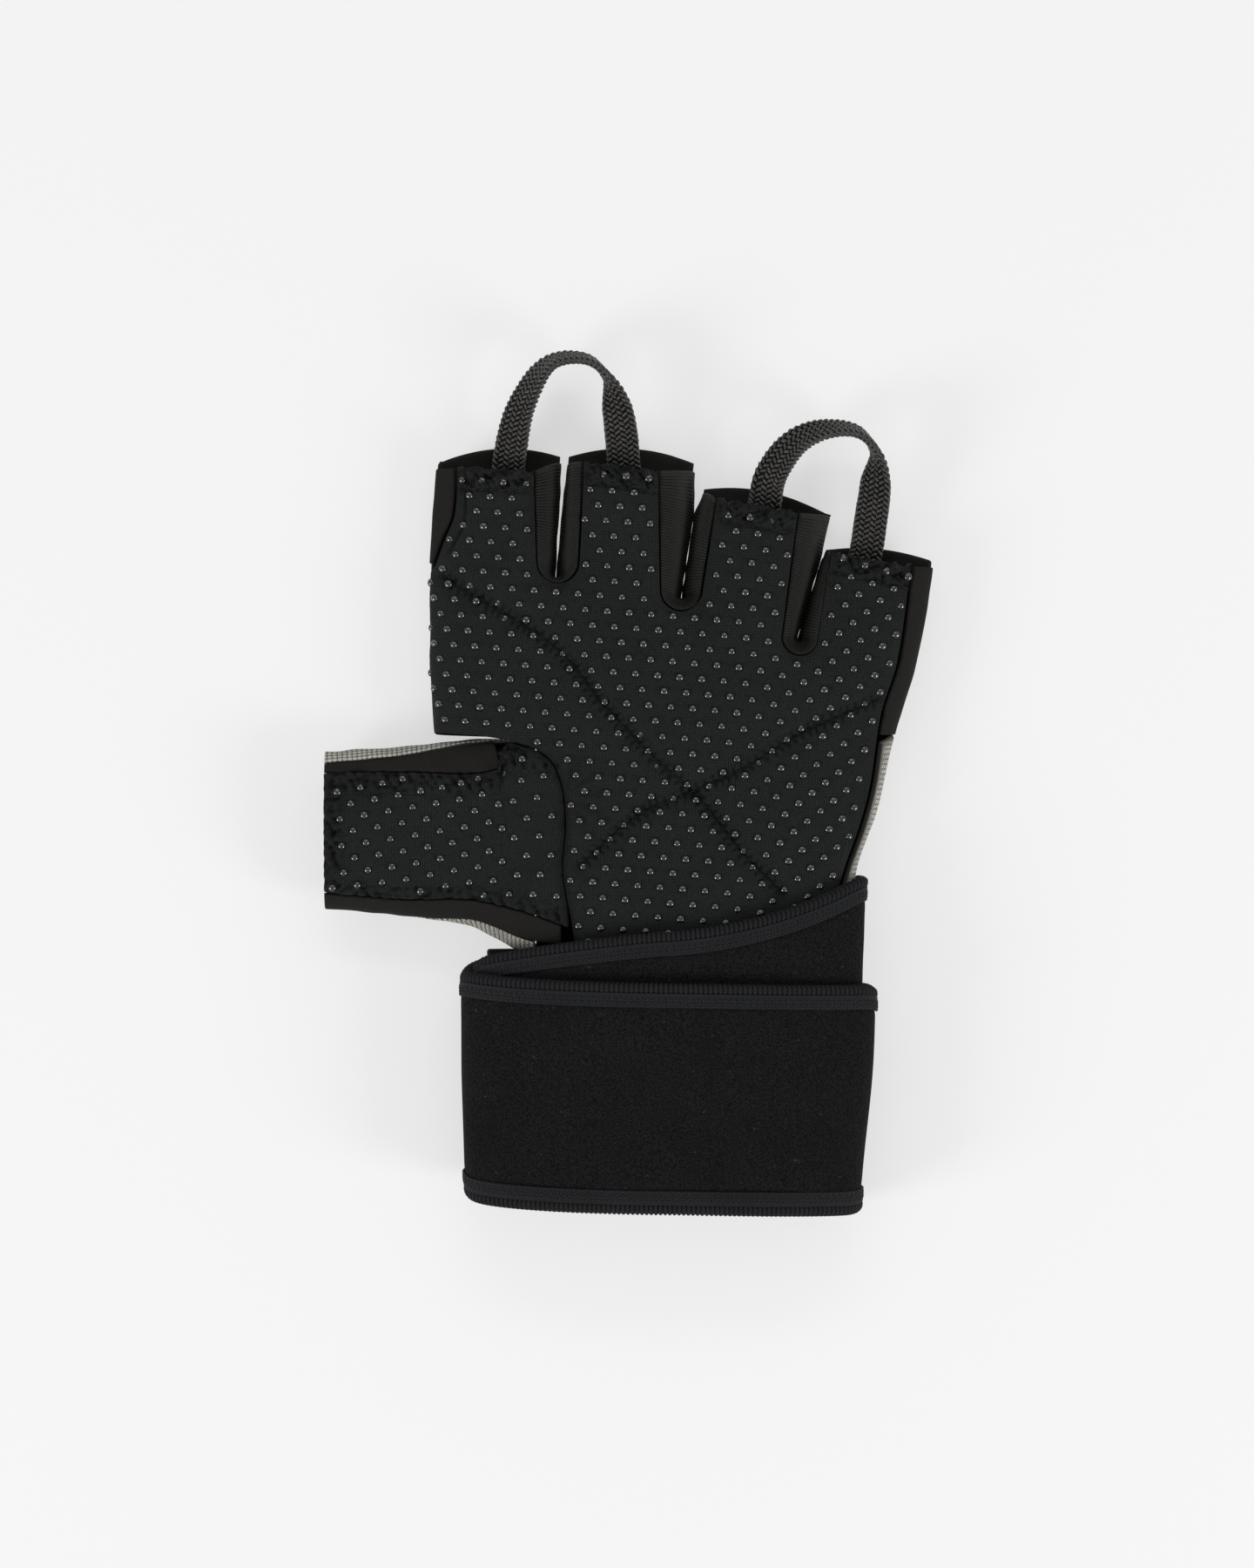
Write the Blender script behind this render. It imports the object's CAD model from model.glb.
"""Looks of a half-finger weightlifting glove for the left hand, palm up, its wrist wrap closed.

Lengths in the code are millimetres in the glove's own plan: x across the palm, y from the wrist
hem to the fingertips, z towards the palm's side. Tables hold shares of the named sizes. Meshes are
in metres in the frame's place.
"""

import logging
import math
from collections.abc import Callable
from dataclasses import dataclass, field
from enum import Enum
from functools import cache, cached_property

import bpy
import numpy as np
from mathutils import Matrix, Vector
from mathutils.geometry import delaunay_2d_cdt


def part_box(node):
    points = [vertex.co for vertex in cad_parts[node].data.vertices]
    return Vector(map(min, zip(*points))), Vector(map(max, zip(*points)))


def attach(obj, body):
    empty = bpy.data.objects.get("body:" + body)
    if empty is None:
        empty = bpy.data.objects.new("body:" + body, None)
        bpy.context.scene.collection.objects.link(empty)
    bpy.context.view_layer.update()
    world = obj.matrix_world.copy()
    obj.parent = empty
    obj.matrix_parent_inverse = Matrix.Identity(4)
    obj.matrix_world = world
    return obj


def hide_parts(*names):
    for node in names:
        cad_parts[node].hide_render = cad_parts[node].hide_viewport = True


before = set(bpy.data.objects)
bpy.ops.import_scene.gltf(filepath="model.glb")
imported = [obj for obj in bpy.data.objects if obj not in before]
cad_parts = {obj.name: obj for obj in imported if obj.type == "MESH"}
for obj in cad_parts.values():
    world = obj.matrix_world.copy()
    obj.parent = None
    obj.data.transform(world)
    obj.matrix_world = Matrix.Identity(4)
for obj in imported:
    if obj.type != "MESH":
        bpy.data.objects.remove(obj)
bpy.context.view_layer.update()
LOG = logging.getLogger("glove")
MM = 0.001
TINY = 1e-9
GAP = 0.3
DOT_SIZE = (1.95, 1.95, 1.35)
DOT_SINK = 0.1
LINT_PALER = 95
LINT_MOST = 235
SHADE_DEPTH = 0.75
ROOT = "root"

Points = np.ndarray
EdgeAngle = Callable[[Points], Points]
Socket = bpy.types.NodeSocket
Tree = bpy.types.NodeTree
Object = bpy.types.Object


def linear(red: float, green: float, blue: float) -> tuple[float, float, float, float]:
    """Turns a colour of 0 to 255 as seen on a screen into Blender's linear colour.

    Args:
        red, green, blue: the three channels.

    Returns:
        The linear colour with full alpha.
    """
    share = np.array([red, green, blue]) / 255
    bent = np.where(share <= 0.04045, share / 12.92, ((share + 0.055) / 1.055) ** 2.4)
    return (*(float(value) for value in bent), 1.0)


def smoothstep(low: float, high: float, at: Points) -> Points:
    """Rises smoothly from 0 at low to 1 at high."""
    share = np.clip((np.asarray(at, float) - low) / (high - low), 0, 1)
    return share * share * (3 - 2 * share)


def signed_power(value: Points, power: Points) -> Points:
    """Raises a value's size to a power and keeps its sign."""
    return np.sign(value) * np.abs(value) ** power


def blend(first: Points, second: Points, share: Points) -> Points:
    """Mixes two values."""
    return first + (second - first) * share


def bell(value: Points, width: float) -> Points:
    """Falls off smoothly from 1 at the value 0, to both sides."""
    return np.exp(-((value / width) ** 2))


def unit(vectors: Points) -> Points:
    """Scales vectors to the length 1."""
    return vectors / np.maximum(np.linalg.norm(vectors, axis=-1, keepdims=True), TINY)


def left_of(way: Points) -> Points:
    """Unit vectors to the left of directions in the plane."""
    return unit(np.stack([-way[:, 1], way[:, 0]], axis=1))


def run_along(line: Points) -> Points:
    """The length along a line up to each of its points."""
    return np.r_[0, np.cumsum(np.linalg.norm(np.diff(line, axis=0), axis=1))]


def read_at(at: Points, run: Points, rows: Points) -> Points:
    """Reads rows of values, known at rising runs, at other runs."""
    return np.stack([np.interp(at, run, column) for column in rows.T], axis=1)


def lattice(reach: int, row: tuple[float, float], column: tuple[float, float]) -> Points:
    """Places in even rows that run so many steps to each side of 0."""
    steps = np.arange(-reach, reach + 1)
    rows, columns = np.meshgrid(steps, steps)
    return rows.reshape(-1, 1) * np.array(row) + columns.reshape(-1, 1) * np.array(column)


class Table:
    """Rows of shares, read smoothly between the rows and level past the ends."""

    def __init__(self, columns: str, rows: list[tuple[float, ...]]) -> None:
        """Takes the column names, the first of which is the place, and the rows."""
        data = np.array(rows, float)
        self.where = data[:, 0]
        self.columns = {name: data[:, k] for k, name in enumerate(columns.split())}

    def at(self, name: str, where: Points) -> Points:
        """Reads one column.

        Args:
            name: the column.
            where: places of the first column.

        Returns:
            The column's values at those places.
        """
        place, value = self.where, self.columns[name]
        slope = np.empty_like(value)
        slope[1:-1] = (value[2:] - value[:-2]) / (place[2:] - place[:-2])
        slope[0] = (value[1] - value[0]) / (place[1] - place[0])
        slope[-1] = (value[-1] - value[-2]) / (place[-1] - place[-2])
        held = np.clip(where, place[0], place[-1])
        row = np.clip(np.searchsorted(place, held, side="left") - 1, 0, len(place) - 2)
        run = place[row + 1] - place[row]
        share = (held - place[row]) / run
        rise = value[row + 1] - value[row]
        first, last = slope[row] * run - rise, slope[row + 1] * run - rise
        return value[row] + rise * share + share * (1 - share) * ((1 - share) * first - share * last)


def ripple(points: Points, size: float, seed: int, waves: int = 9) -> Points:
    """Smooth random unevenness.

    Args:
        points: places in the plane or in space.
        size: the typical length of one swell.
        seed: which pattern.
        waves: how many waves it is the sum of.

    Returns:
        Values mostly between -1 and 1.
    """
    rng = np.random.default_rng(seed)
    total = np.zeros(points.shape[:-1])
    for _ in range(waves):
        way = rng.normal(size=points.shape[-1])
        way *= rng.uniform(0.7, 1.5) * math.tau / size / np.linalg.norm(way)
        total += np.sin(points @ way + rng.uniform(0, math.tau))
    return total / math.sqrt(waves)


def resampled(line: Points, step: float) -> Points:
    """Walks along a line in even steps.

    Args:
        line: the line's points, one a row.
        step: the longest step.

    Returns:
        Evenly spaced points with both ends kept.
    """
    run = run_along(line)
    count = max(int(math.ceil(run[-1] / step)), 1)
    at = np.linspace(0, run[-1], count + 1)
    return read_at(at, run, line)


def smooth_line(knots: list[tuple[float, float]], step: float = 0.5) -> Points:
    """Runs a smooth line through a few knots.

    Args:
        knots: the places that it passes.
        step: spacing of the points made.

    Returns:
        The line's points.
    """
    knot = np.array(knots, float)
    run = run_along(knot)
    table = Table("run x y", [(r, *k) for r, k in zip(run, knot)])
    at = np.linspace(0, run[-1], max(int(run[-1] / step), 2))
    return np.stack([table.at("x", at), table.at("y", at)], axis=1)


def nearest(line: Points, points: Points, chunk: int = 4000) -> tuple[Points, Points]:
    """Measures points against a line of straight pieces.

    Args:
        line: the line's points.
        points: the places to measure.
        chunk: how many are measured at once.

    Returns:
        Each point's distance to the line, and how far along the line its nearest place is.
    """
    start, way = line[:-1], np.diff(line, axis=0)
    span = np.maximum((way**2).sum(1), 1e-12)
    run = np.r_[0, np.cumsum(np.sqrt(span))]
    away, along = np.empty(len(points)), np.empty(len(points))
    for first in range(0, len(points), chunk):
        part = points[first : first + chunk, None] - start
        share = np.clip((part * way).sum(2) / span, 0, 1)
        square = ((part - share[..., None] * way) ** 2).sum(2)
        best = square.argmin(1)
        rows = np.arange(len(best))
        away[first : first + chunk] = np.sqrt(square[rows, best])
        along[first : first + chunk] = run[best] + share[rows, best] * np.sqrt(span[best])
    return away, along


def distance_to(line: Points, points: Points) -> Points:
    """Distance of points to a line."""
    return nearest(line, points)[0]


def inside(outline: Points, points: Points, chunk: int = 4000) -> Points:
    """Tells which points lie inside a closed outline.

    Args:
        outline: the closed outline, its first point not repeated.
        points: the places to test.
        chunk: how many are tested at once.

    Returns:
        True for each point inside.
    """
    x0, y0 = outline.T
    x1, y1 = np.roll(outline, -1, axis=0).T
    run = np.where(y1 == y0, 1e-12, y1 - y0)
    found = np.empty(len(points), bool)
    for first in range(0, len(points), chunk):
        x, y = points[first : first + chunk].T[..., None]
        crosses = ((y0 > y) != (y1 > y)) & (x < (x1 - x0) * (y - y0) / run + x0)
        found[first : first + chunk] = crosses.sum(1) % 2 == 1
    return found


HAND_ROWS = Table(
    "along left right depth lift",
    [
        (0, -0.392, 0.325, 0.75, 1), (0.14, -0.4, 0.347, 0.75, 1), (0.257, -0.4, 0.356, 0.76, 1),
        (0.322, -0.404, 0.357, 0.8, 1), (0.418, -0.44, 0.368, 0.88, 0.72),
        (0.503, -0.487, 0.415, 0.97, 0.26), (0.596, -0.515, 0.449, 1, 0),
        (0.702, -0.524, 0.498, 0.98, 0), (0.819, -0.524, 0.531, 0.9, 0),
        (0.959, -0.511, 0.542, 0.84, 0), (1, -0.504, 0.544, 0.82, 0),
    ],
)
PALM_EDGE = Table(
    "along edge",
    [
        (0, 0.27), (0.351, 0.318), (0.421, 0.345), (0.48, 0.378), (0.538, 0.402), (0.632, 0.424),
        (0.702, 0.458), (0.83, 0.487),
    ],
)
INDEX_STRIP_EDGE = Table(
    "along edge", [(0.83, -0.515), (0.865, -0.495), (0.901, -0.472), (0.965, -0.466)]
)
THUMB_SEAM = Table(
    "along across",
    [
        (0.304, -0.215), (0.351, -0.224), (0.421, -0.242), (0.491, -0.236), (0.55, -0.251),
        (0.582, -0.291), (0.596, -0.355), (0.603, -0.42),
    ],
)
THUMB_ROWS = Table(
    "along high low lift depth square palm_high palm_low back_high back_low",
    [
        (0, 0.598, 0.314, 0.02, 0.97, 5, 0.93, -0.78, 1, -0.95),
        (0.16, 0.599, 0.308, 0.02, 0.95, 4.2, 0.808, -0.609, 0.995, -0.858),
        (0.39, 0.598, 0.345, 0.04, 0.86, 3, 0.638, -0.707, 0.97, -0.92),
        (0.68, 0.589, 0.36, 0.1, 0.74, 2.7, 0.7, -0.8, 0.89, -0.99),
        (1, 0.581, 0.37, 0.16, 0.64, 2.5, 0.735, -0.8, 0.86, -0.995),
    ],
)
WRAP_ROWS = Table(
    "turn rise",
    [
        (0.16, 0.47), (0.25, 0.477), (0.5, 0.608), (0.75, 0.856), (1, 0.65), (1.14, 0.5), (1.25, 0.445),
        (1.5, 0.386), (1.75, 0.375), (2.06, 0.385),
    ],
)


FINGER_SIDES = (-0.504, 0.544)
INDEX_CORNER = (-0.466, 0.965)
LITTLE_CORNER = (0.487, 0.83)


@dataclass(frozen=True)
class Slot:
    """The opening between two fingers: hem corners and web on the palm, and the crease on the back.

    The gape is the share of the crease's width that stays open below the hems.
    """

    name: str
    left: tuple[float, float]
    right: tuple[float, float]
    web: tuple[float, float]
    radius: float
    crease_left: tuple[float, float]
    crease_right: tuple[float, float]
    crease_web: tuple[float, float]
    gape: float


SLOTS = (
    Slot(
        "index_middle", (-0.304, 0.959), (-0.2, 0.971), (-0.2536, 0.808), 0.0445,
        (-0.2436, 0.972), (-0.238, 0.971), (-0.259, 0.818), 0.5,
    ),
    Slot(
        "middle_ring", (-0.044, 0.958), (0.078, 0.921), (0.0036, 0.77), 0.0436,
        (0.038, 0.96), (0.047, 0.932), (0.0055, 0.79), 0.0,
    ),
    Slot(
        "ring_little", (0.248, 0.902), (0.318, 0.851), (0.252, 0.71), 0.039,
        (0.322, 0.899), (0.309, 0.853), (0.25, 0.734), 0.0,
    ),
)


@dataclass(frozen=True)
class HandForm:
    """The empty glove's hand, a flattened tube from the wrist hem to the finger hems."""

    width: float = 110.0
    length: float = 171.0
    depth: float = 16.4
    wrap_lift: float = 6.4
    seam_share: float = 0.45
    floor_press: float = 0.8
    palm_round: float = 2.6
    back_round: float = 3.2
    finger_dip: float = 0.34

    def edge(self, table: Table, y: Points) -> Points:
        """Reads an edge's place across the hand at a height up the hand."""
        return self.width * table.at("edge", np.asarray(y) / self.length)

    def section(self, y: Points) -> dict[str, Points]:
        """Measures the cross-section at a height up the hand.

        Args:
            y: the heights.

        Returns:
            The middle, half width, floor, seam height, and the room above and below the seam.
        """
        along = np.asarray(y, float) / self.length
        left = self.width * HAND_ROWS.at("left", along)
        right = self.width * HAND_ROWS.at("right", along)
        depth = self.depth * HAND_ROWS.at("depth", along)
        floor = self.wrap_lift * np.maximum(HAND_ROWS.at("lift", along), 0)
        return {
            "middle": (left + right) / 2,
            "half": (right - left) / 2,
            "floor": floor,
            "seam": floor + depth * self.seam_share,
            "above": depth * (1 - self.seam_share),
            "below": depth * self.seam_share + self.floor_press,
        }

    def dip(self, x: Points, y: Points) -> Points:
        """How far the cloth falls away beside a finger's middle line.

        Args:
            x, y: places in the plan.

        Returns:
            A share of the cloth's height above the seam.
        """
        across = np.asarray(x) / self.width
        creases = [(slot.crease_left[0] + slot.crease_right[0]) / 2 for slot in SLOTS]
        bounds = np.array([FINGER_SIDES[0], *creases, FINGER_SIDES[1]])
        finger = np.searchsorted(creases, across)
        middle = (bounds[finger] + bounds[finger + 1]) / 2
        half = (bounds[finger + 1] - bounds[finger]) / 2
        side = np.minimum(np.abs(across - middle) / half, 1)
        roots = [slot.web[1] for slot in SLOTS] + [SLOTS[-1].web[1]]
        root = np.interp(across, (bounds[:-1] + bounds[1:]) / 2, roots)
        return self.finger_dip * side**2.4 * smoothstep(-0.12, 0.14, np.asarray(y) / self.length - root)

    def point(self, angle: Points, y: Points, inset: Points = 0.0) -> Points:
        """A point of the tube.

        Args:
            angle: 0 on the palm, -90 degrees at the thumb's side and 180 on the back.
            y: height up the hand.
            inset: depth into the cloth; negative lies outside it.

        Returns:
            Places in the plan and above the floor.
        """
        angle, y = np.broadcast_arrays(np.asarray(angle, float), np.asarray(y, float))
        cut = self.section(y)
        on_palm = np.cos(angle) >= 0
        power = 2 / np.where(on_palm, self.palm_round, self.back_round)
        x = cut["middle"] + (cut["half"] - inset) * signed_power(np.sin(angle), power)
        level = np.abs(np.cos(angle)) ** power * (1 - self.dip(x, y))
        top = cut["seam"] + (cut["above"] - inset) * level
        low = cut["seam"] - (cut["below"] - inset) * level
        z = np.where(on_palm, top, np.maximum(low, cut["floor"] + inset))
        return np.stack([x, y, z], axis=-1)

    def off_axis(self, x: Points, y: Points, squareness: float) -> Points:
        """The angle of a place away from the middle line of its half."""
        cut = self.section(y)
        share = np.clip((x - cut["middle"]) / cut["half"], -1, 1)
        return np.arcsin(signed_power(share, squareness / 2))

    def palm_angle(self, x: Points, y: Points) -> Points:
        """The angle of a place on the palm's half."""
        return self.off_axis(x, y, self.palm_round)

    def back_angle(self, x: Points, y: Points) -> Points:
        """The angle of a place on the back's half."""
        return math.pi - self.off_axis(x, y, self.back_round)

    def palm_height(self, x: Points, y: Points) -> Points:
        """Height of the palm's face above the floor."""
        return self.point(self.palm_angle(x, y), y)[..., 2]

    def back_height(self, x: Points, y: Points, inset: float) -> Points:
        """Height of the back's face, or of a face inset into the glove."""
        return self.point(self.back_angle(x, y), y, inset)[..., 2]

    def below_seam(self, y: Points, gap: float) -> Points:
        """The angle just below the side seam on the right that leaves a gap."""
        return math.pi / 2 + np.arcsin((gap / self.section(y)["below"]) ** (self.back_round / 2))


HAND = HandForm()


def thumb_seam(y: Points) -> Points:
    """Where the seam round the thumb's root lies across the plan, at heights up the hand."""
    return HAND.width * THUMB_SEAM.at("across", y / HAND.length)


@dataclass(frozen=True)
class ThumbForm:
    """The thumb's tube, from its root in the hand to its opening."""

    root: float = -0.232
    tip: float = -0.742
    corner_high: float = 0.96
    corner_end: float = 0.285
    corner_run: float = 0.035
    under: float = 0.16

    def along(self, x: Points) -> Points:
        """The share of the way from the root to the opening."""
        return (np.asarray(x) / HAND.width - self.root) / (self.tip - self.root)

    def at(self, share: Points) -> Points:
        """The place across the plan at a share of that way."""
        return HAND.width * blend(self.root, self.tip, share)

    def section(self, x: Points) -> dict[str, Points]:
        """Measures the cross-section of the thumb.

        Args:
            x: places along it.

        Returns:
            The middle, half width, height, rise, squareness, and how much it lies over the wrap.
        """
        along = self.along(x)
        high = HAND.length * THUMB_ROWS.at("high", along)
        low = HAND.length * THUMB_ROWS.at("low", along)
        depth = HAND.depth * THUMB_ROWS.at("depth", along)
        return {
            "middle": (high + low) / 2,
            "half": (high - low) / 2,
            "height": HAND.depth * THUMB_ROWS.at("lift", along) + depth / 2,
            "rise": depth / 2,
            "square": THUMB_ROWS.at("square", along),
            "over_wrap": 1 - smoothstep(0.3, 0.8, along),
        }

    def point(self, angle: Points, x: Points, inset: Points = 0.0) -> Points:
        """A point of the thumb's tube.

        Args:
            angle: 0 on the palm's side and 90 degrees at the upper edge.
            x: place along the thumb.
            inset: depth into the cloth.

        Returns:
            Places in the plan and above the floor.
        """
        angle, x = np.broadcast_arrays(np.asarray(angle, float), np.asarray(x, float))
        cut = self.section(x)
        power = 2 / cut["square"]
        y = cut["middle"] + (cut["half"] - inset) * signed_power(np.sin(angle), power)
        tube = cut["height"] + (cut["rise"] - inset) * signed_power(np.cos(angle), power)
        low = np.maximum(tube, cut["over_wrap"] * HAND.section(y)["floor"] + inset)
        share = np.abs(np.cos(angle)) ** power
        share = share * smoothstep(self.root - 0.16, self.root, x / HAND.width)
        top = blend(tube, HAND.palm_height(x, y) - inset, share)
        return np.stack([x, y, np.where(np.cos(angle) < 0, low, top)], axis=-1)

    def seam(self, name: str, x: Points, clearance: float) -> Points:
        """The angle of one of the four seams along the thumb.

        Args:
            name: the seam's column.
            x: places along the thumb.
            clearance: how far to keep from it, across the thumb.

        Returns:
            Angles.
        """
        cut = self.section(x)
        along = self.along(x)
        place = THUMB_ROWS.at(name, along)
        if name == "palm_high":
            corner = smoothstep(self.corner_end - self.corner_run, self.corner_end, along)
            place = blend(self.corner_high, place, corner)
        share = np.clip(place + clearance / cut["half"], -1, 1)
        under = self.under * smoothstep(0.4, 0.56, along) if name == "back_low" else 0.0
        return np.arcsin(signed_power(share, cut["square"] / 2)) - under


THUMB = ThumbForm()


class HandChart:
    """Lays a side of the hand out flat, as arc length from a middle line against height up the hand."""

    def __init__(self, centre: float, low: float, high: float, row_step: float = 0.5) -> None:
        """Measures the tube between two angles, from the angle of its middle line."""
        near_seams = np.linspace(0, 1, 80) ** 2 * 0.4
        seams = [math.pi / 2, -math.pi / 2, 3 * math.pi / 2]
        extra = [seam + side * near_seams for seam in seams for side in (-1, 1)]
        angles = np.unique(np.concatenate([np.linspace(low, high, 700), [centre], *extra]))
        self.angles = angles[(angles >= low) & (angles <= high)]
        self.step = row_step
        self.rows = np.arange(0, HAND.length + row_step, row_step)
        place = HAND.point(self.angles[None], self.rows[:, None])
        run = np.linalg.norm(np.diff(place, axis=1), axis=2)
        arcs = np.concatenate([np.zeros((len(self.rows), 1)), np.cumsum(run, axis=1)], axis=1)
        self.arcs = arcs - arcs[:, np.searchsorted(self.angles, centre), None]
        self.shares = np.linspace(-1, 1, 1201)
        self.ends = np.stack([-self.arcs[:, 0], self.arcs[:, -1]], axis=1)
        table = []
        for arc, (left, right) in zip(self.arcs, self.ends):
            at = np.where(self.shares < 0, self.shares * left, self.shares * right)
            table.append(np.interp(at, arc, self.angles))
        self.table = np.array(table)

    def _row(self, y: Points) -> tuple[Points, Points]:
        """The table row below a height, and the share of the way to the next."""
        at = np.clip(np.asarray(y, float) / self.step, 0, len(self.rows) - 1.001)
        row = at.astype(int)
        return row, at - row

    def _between(self, table: Points, row: Points, share: Points, column: Points, part: Points) -> Points:
        """Reads a table between two rows and two columns."""
        first, second = (blend(table[at, column], table[at, column + 1], part) for at in (row, row + 1))
        return blend(first, second, share)

    def arc(self, angle: Points, y: Points) -> Points:
        """Arc length of an angle at a height up the hand."""
        angle, y = np.broadcast_arrays(np.asarray(angle, float), np.asarray(y, float))
        row, share = self._row(y)
        column = np.clip(np.searchsorted(self.angles, angle) - 1, 0, len(self.angles) - 2)
        run = self.angles[column + 1] - self.angles[column]
        part = np.clip((angle - self.angles[column]) / run, 0, 1)
        return self._between(self.arcs, row, share, column, part)

    def angle(self, arc: Points, y: Points) -> Points:
        """The angle at an arc length and a height up the hand."""
        row, share = self._row(y)
        left = blend(self.ends[row, 0], self.ends[row + 1, 0], share)
        right = blend(self.ends[row, 1], self.ends[row + 1, 1], share)
        at = np.clip(np.where(arc < 0, arc / left, arc / right), -1, 1)
        spot = (at + 1) / 2 * (len(self.shares) - 1)
        column = np.clip(spot.astype(int), 0, len(self.shares) - 2)
        part = spot - column
        return self._between(self.table, row, share, column, part)

    def lay(self, flat: Points) -> Points:
        """Lays flat places, as arc length and height, onto the hand."""
        return HAND.point(self.angle(flat[:, 0], flat[:, 1]), flat[:, 1])

    def facing(self, flat: Points, reach: float = 0.5) -> Points:
        """The cloth's outward direction at flat places.

        Args:
            flat: arc lengths and heights.
            reach: how far to each side the slope is measured.

        Returns:
            Unit vectors.
        """
        side, up = np.array([reach, 0]), np.array([0, reach])
        across = self.lay(flat + side) - self.lay(flat - side)
        along = self.lay(flat + up) - self.lay(flat - up)
        normal = np.cross(across, along)
        return unit(normal)


@dataclass
class Cloth:
    """A mesh in the making: points in the plan, faces, a flat pattern place and named values."""

    points: Points
    faces: list[tuple[int, ...]]
    weave: Points
    values: dict[str, Points] = field(default_factory=dict)

    def joined(self, other: "Cloth") -> "Cloth":
        """Puts two meshes together."""
        shift = len(self.points)
        faces = self.faces + [tuple(corner + shift for corner in face) for face in other.faces]
        values = {name: np.concatenate([self.values[name], other.values[name]]) for name in self.values}
        points = np.concatenate([self.points, other.points])
        return Cloth(points, faces, np.concatenate([self.weave, other.weave]), values)


def plan_shift() -> Points:
    """The way from the glove's own plan to the frame's place, from the CAD nodes, in millimetres."""
    palm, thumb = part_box("palm_panel")[0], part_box("thumb_palm_panel")[0]
    return np.array([thumb[0] / MM - HAND.width * THUMB.tip, palm[1] / MM, 0.0])


SHIFT = plan_shift()


def turned_out(points: Points, faces: list[tuple[int, ...]]) -> list[tuple[int, ...]]:
    """Turns a closed mesh right side out.

    Args:
        points: the corners' places.
        faces: the faces.

    Returns:
        The faces, all turned over if they faced inwards.
    """
    fan = [(face[0], face[k], face[k + 1]) for face in faces for k in range(1, len(face) - 1)]
    corner = (points - points.mean(0))[np.array(fan)]
    volume = (corner[:, 0] * np.cross(corner[:, 1], corner[:, 2])).sum()
    return faces if volume > 0 else [face[::-1] for face in faces]


def shell(outer: Points, inner: Points, faces: list[tuple[int, ...]], weave: Points) -> Cloth:
    """Closes a shell between two faces of a cloth that share their layout.

    Args:
        outer, inner: the two faces' points.
        faces: the faces of one side.
        weave: the flat place of each point.

    Returns:
        The closed mesh. Its value "lining" is 0 on the outer face and 1 on the inner one.
    """
    count = len(outer)
    edges = {(face[k], face[(k + 1) % len(face)]) for face in faces for k in range(len(face))}
    rim = [(b, a, a + count, b + count) for a, b in edges if (b, a) not in edges]
    under = [tuple(corner + count for corner in face[::-1]) for face in faces]
    points = np.concatenate([outer, inner])
    lining = np.r_[np.zeros(count), np.ones(count)]
    both = turned_out(points, faces + under + rim)
    return Cloth(points, both, np.concatenate([weave, weave]), {"lining": lining})


def rolled(distance: Points, reach: float, least: float = 0.18) -> Points:
    """The share of its full thickness that a cloth has near its edge.

    Args:
        distance: how far from the edge.
        reach: how far in from the edge the round goes.
        least: the share at the very edge.

    Returns:
        Shares from least to 1, rising as a quarter round.
    """
    part = 1 - np.clip(distance / reach, 0, 1)
    return np.maximum(np.sqrt(np.clip(1 - part**2, 0, 1)), least)


def edge_steps(length: float, step: float, roll: float) -> Points:
    """Shares along a length, closer together by both ends so that an edge can roll.

    Args:
        length: the length in millimetres.
        step: spacing in the middle.
        roll: how far in from each end the round reaches.

    Returns:
        Rising shares from 0 to 1.
    """
    near = np.array([0, 0.08, 0.3, 0.65]) * roll
    count = max(int((length - 2 * roll) / step), 2)
    middle = np.linspace(roll, length - roll, count + 1)
    return np.concatenate([near, middle, (length - near)[::-1]]) / length


def evened(place_at: Callable[[Points], Points], share: Points, samples: int = 400) -> Points:
    """Finds where even steps of length lie on lines whose own measure runs unevenly.

    Args:
        place_at: gives the places, rows by columns, for shares of the lines' own measure.
        share: the wanted shares of each line's length.
        samples: how finely the lines are measured.

    Returns:
        Shares of the lines' own measure, rows by columns.
    """
    fine = (1 - np.cos(np.linspace(0, math.pi, samples))) / 2
    steps = np.linalg.norm(np.diff(place_at(fine[None]), axis=1), axis=2)
    run = np.concatenate([np.zeros((len(steps), 1)), np.cumsum(steps, axis=1)], axis=1)
    return np.stack([np.interp(share * row[-1], row, fine) for row in run])


def grid_faces(rows: int, columns: int, closed: bool = False) -> list[tuple[int, ...]]:
    """Faces of a grid of points, whose columns may run round a tube."""
    last = columns if closed else columns - 1
    faces = []
    for row in range(0, (rows - 1) * columns, columns):
        for j in range(last):
            following = (j + 1) % columns
            faces.append((row + j, row + following, row + columns + following, row + columns + j))
    return faces


def tube_faces(rows: int, columns: int) -> list[tuple[int, ...]]:
    """Faces of a grid of points round a tube, with both ends closed."""
    last = (rows - 1) * columns
    ends = [tuple(range(columns))[::-1], tuple(last + k for k in range(columns))]
    return grid_faces(rows, columns, closed=True) + ends


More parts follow.
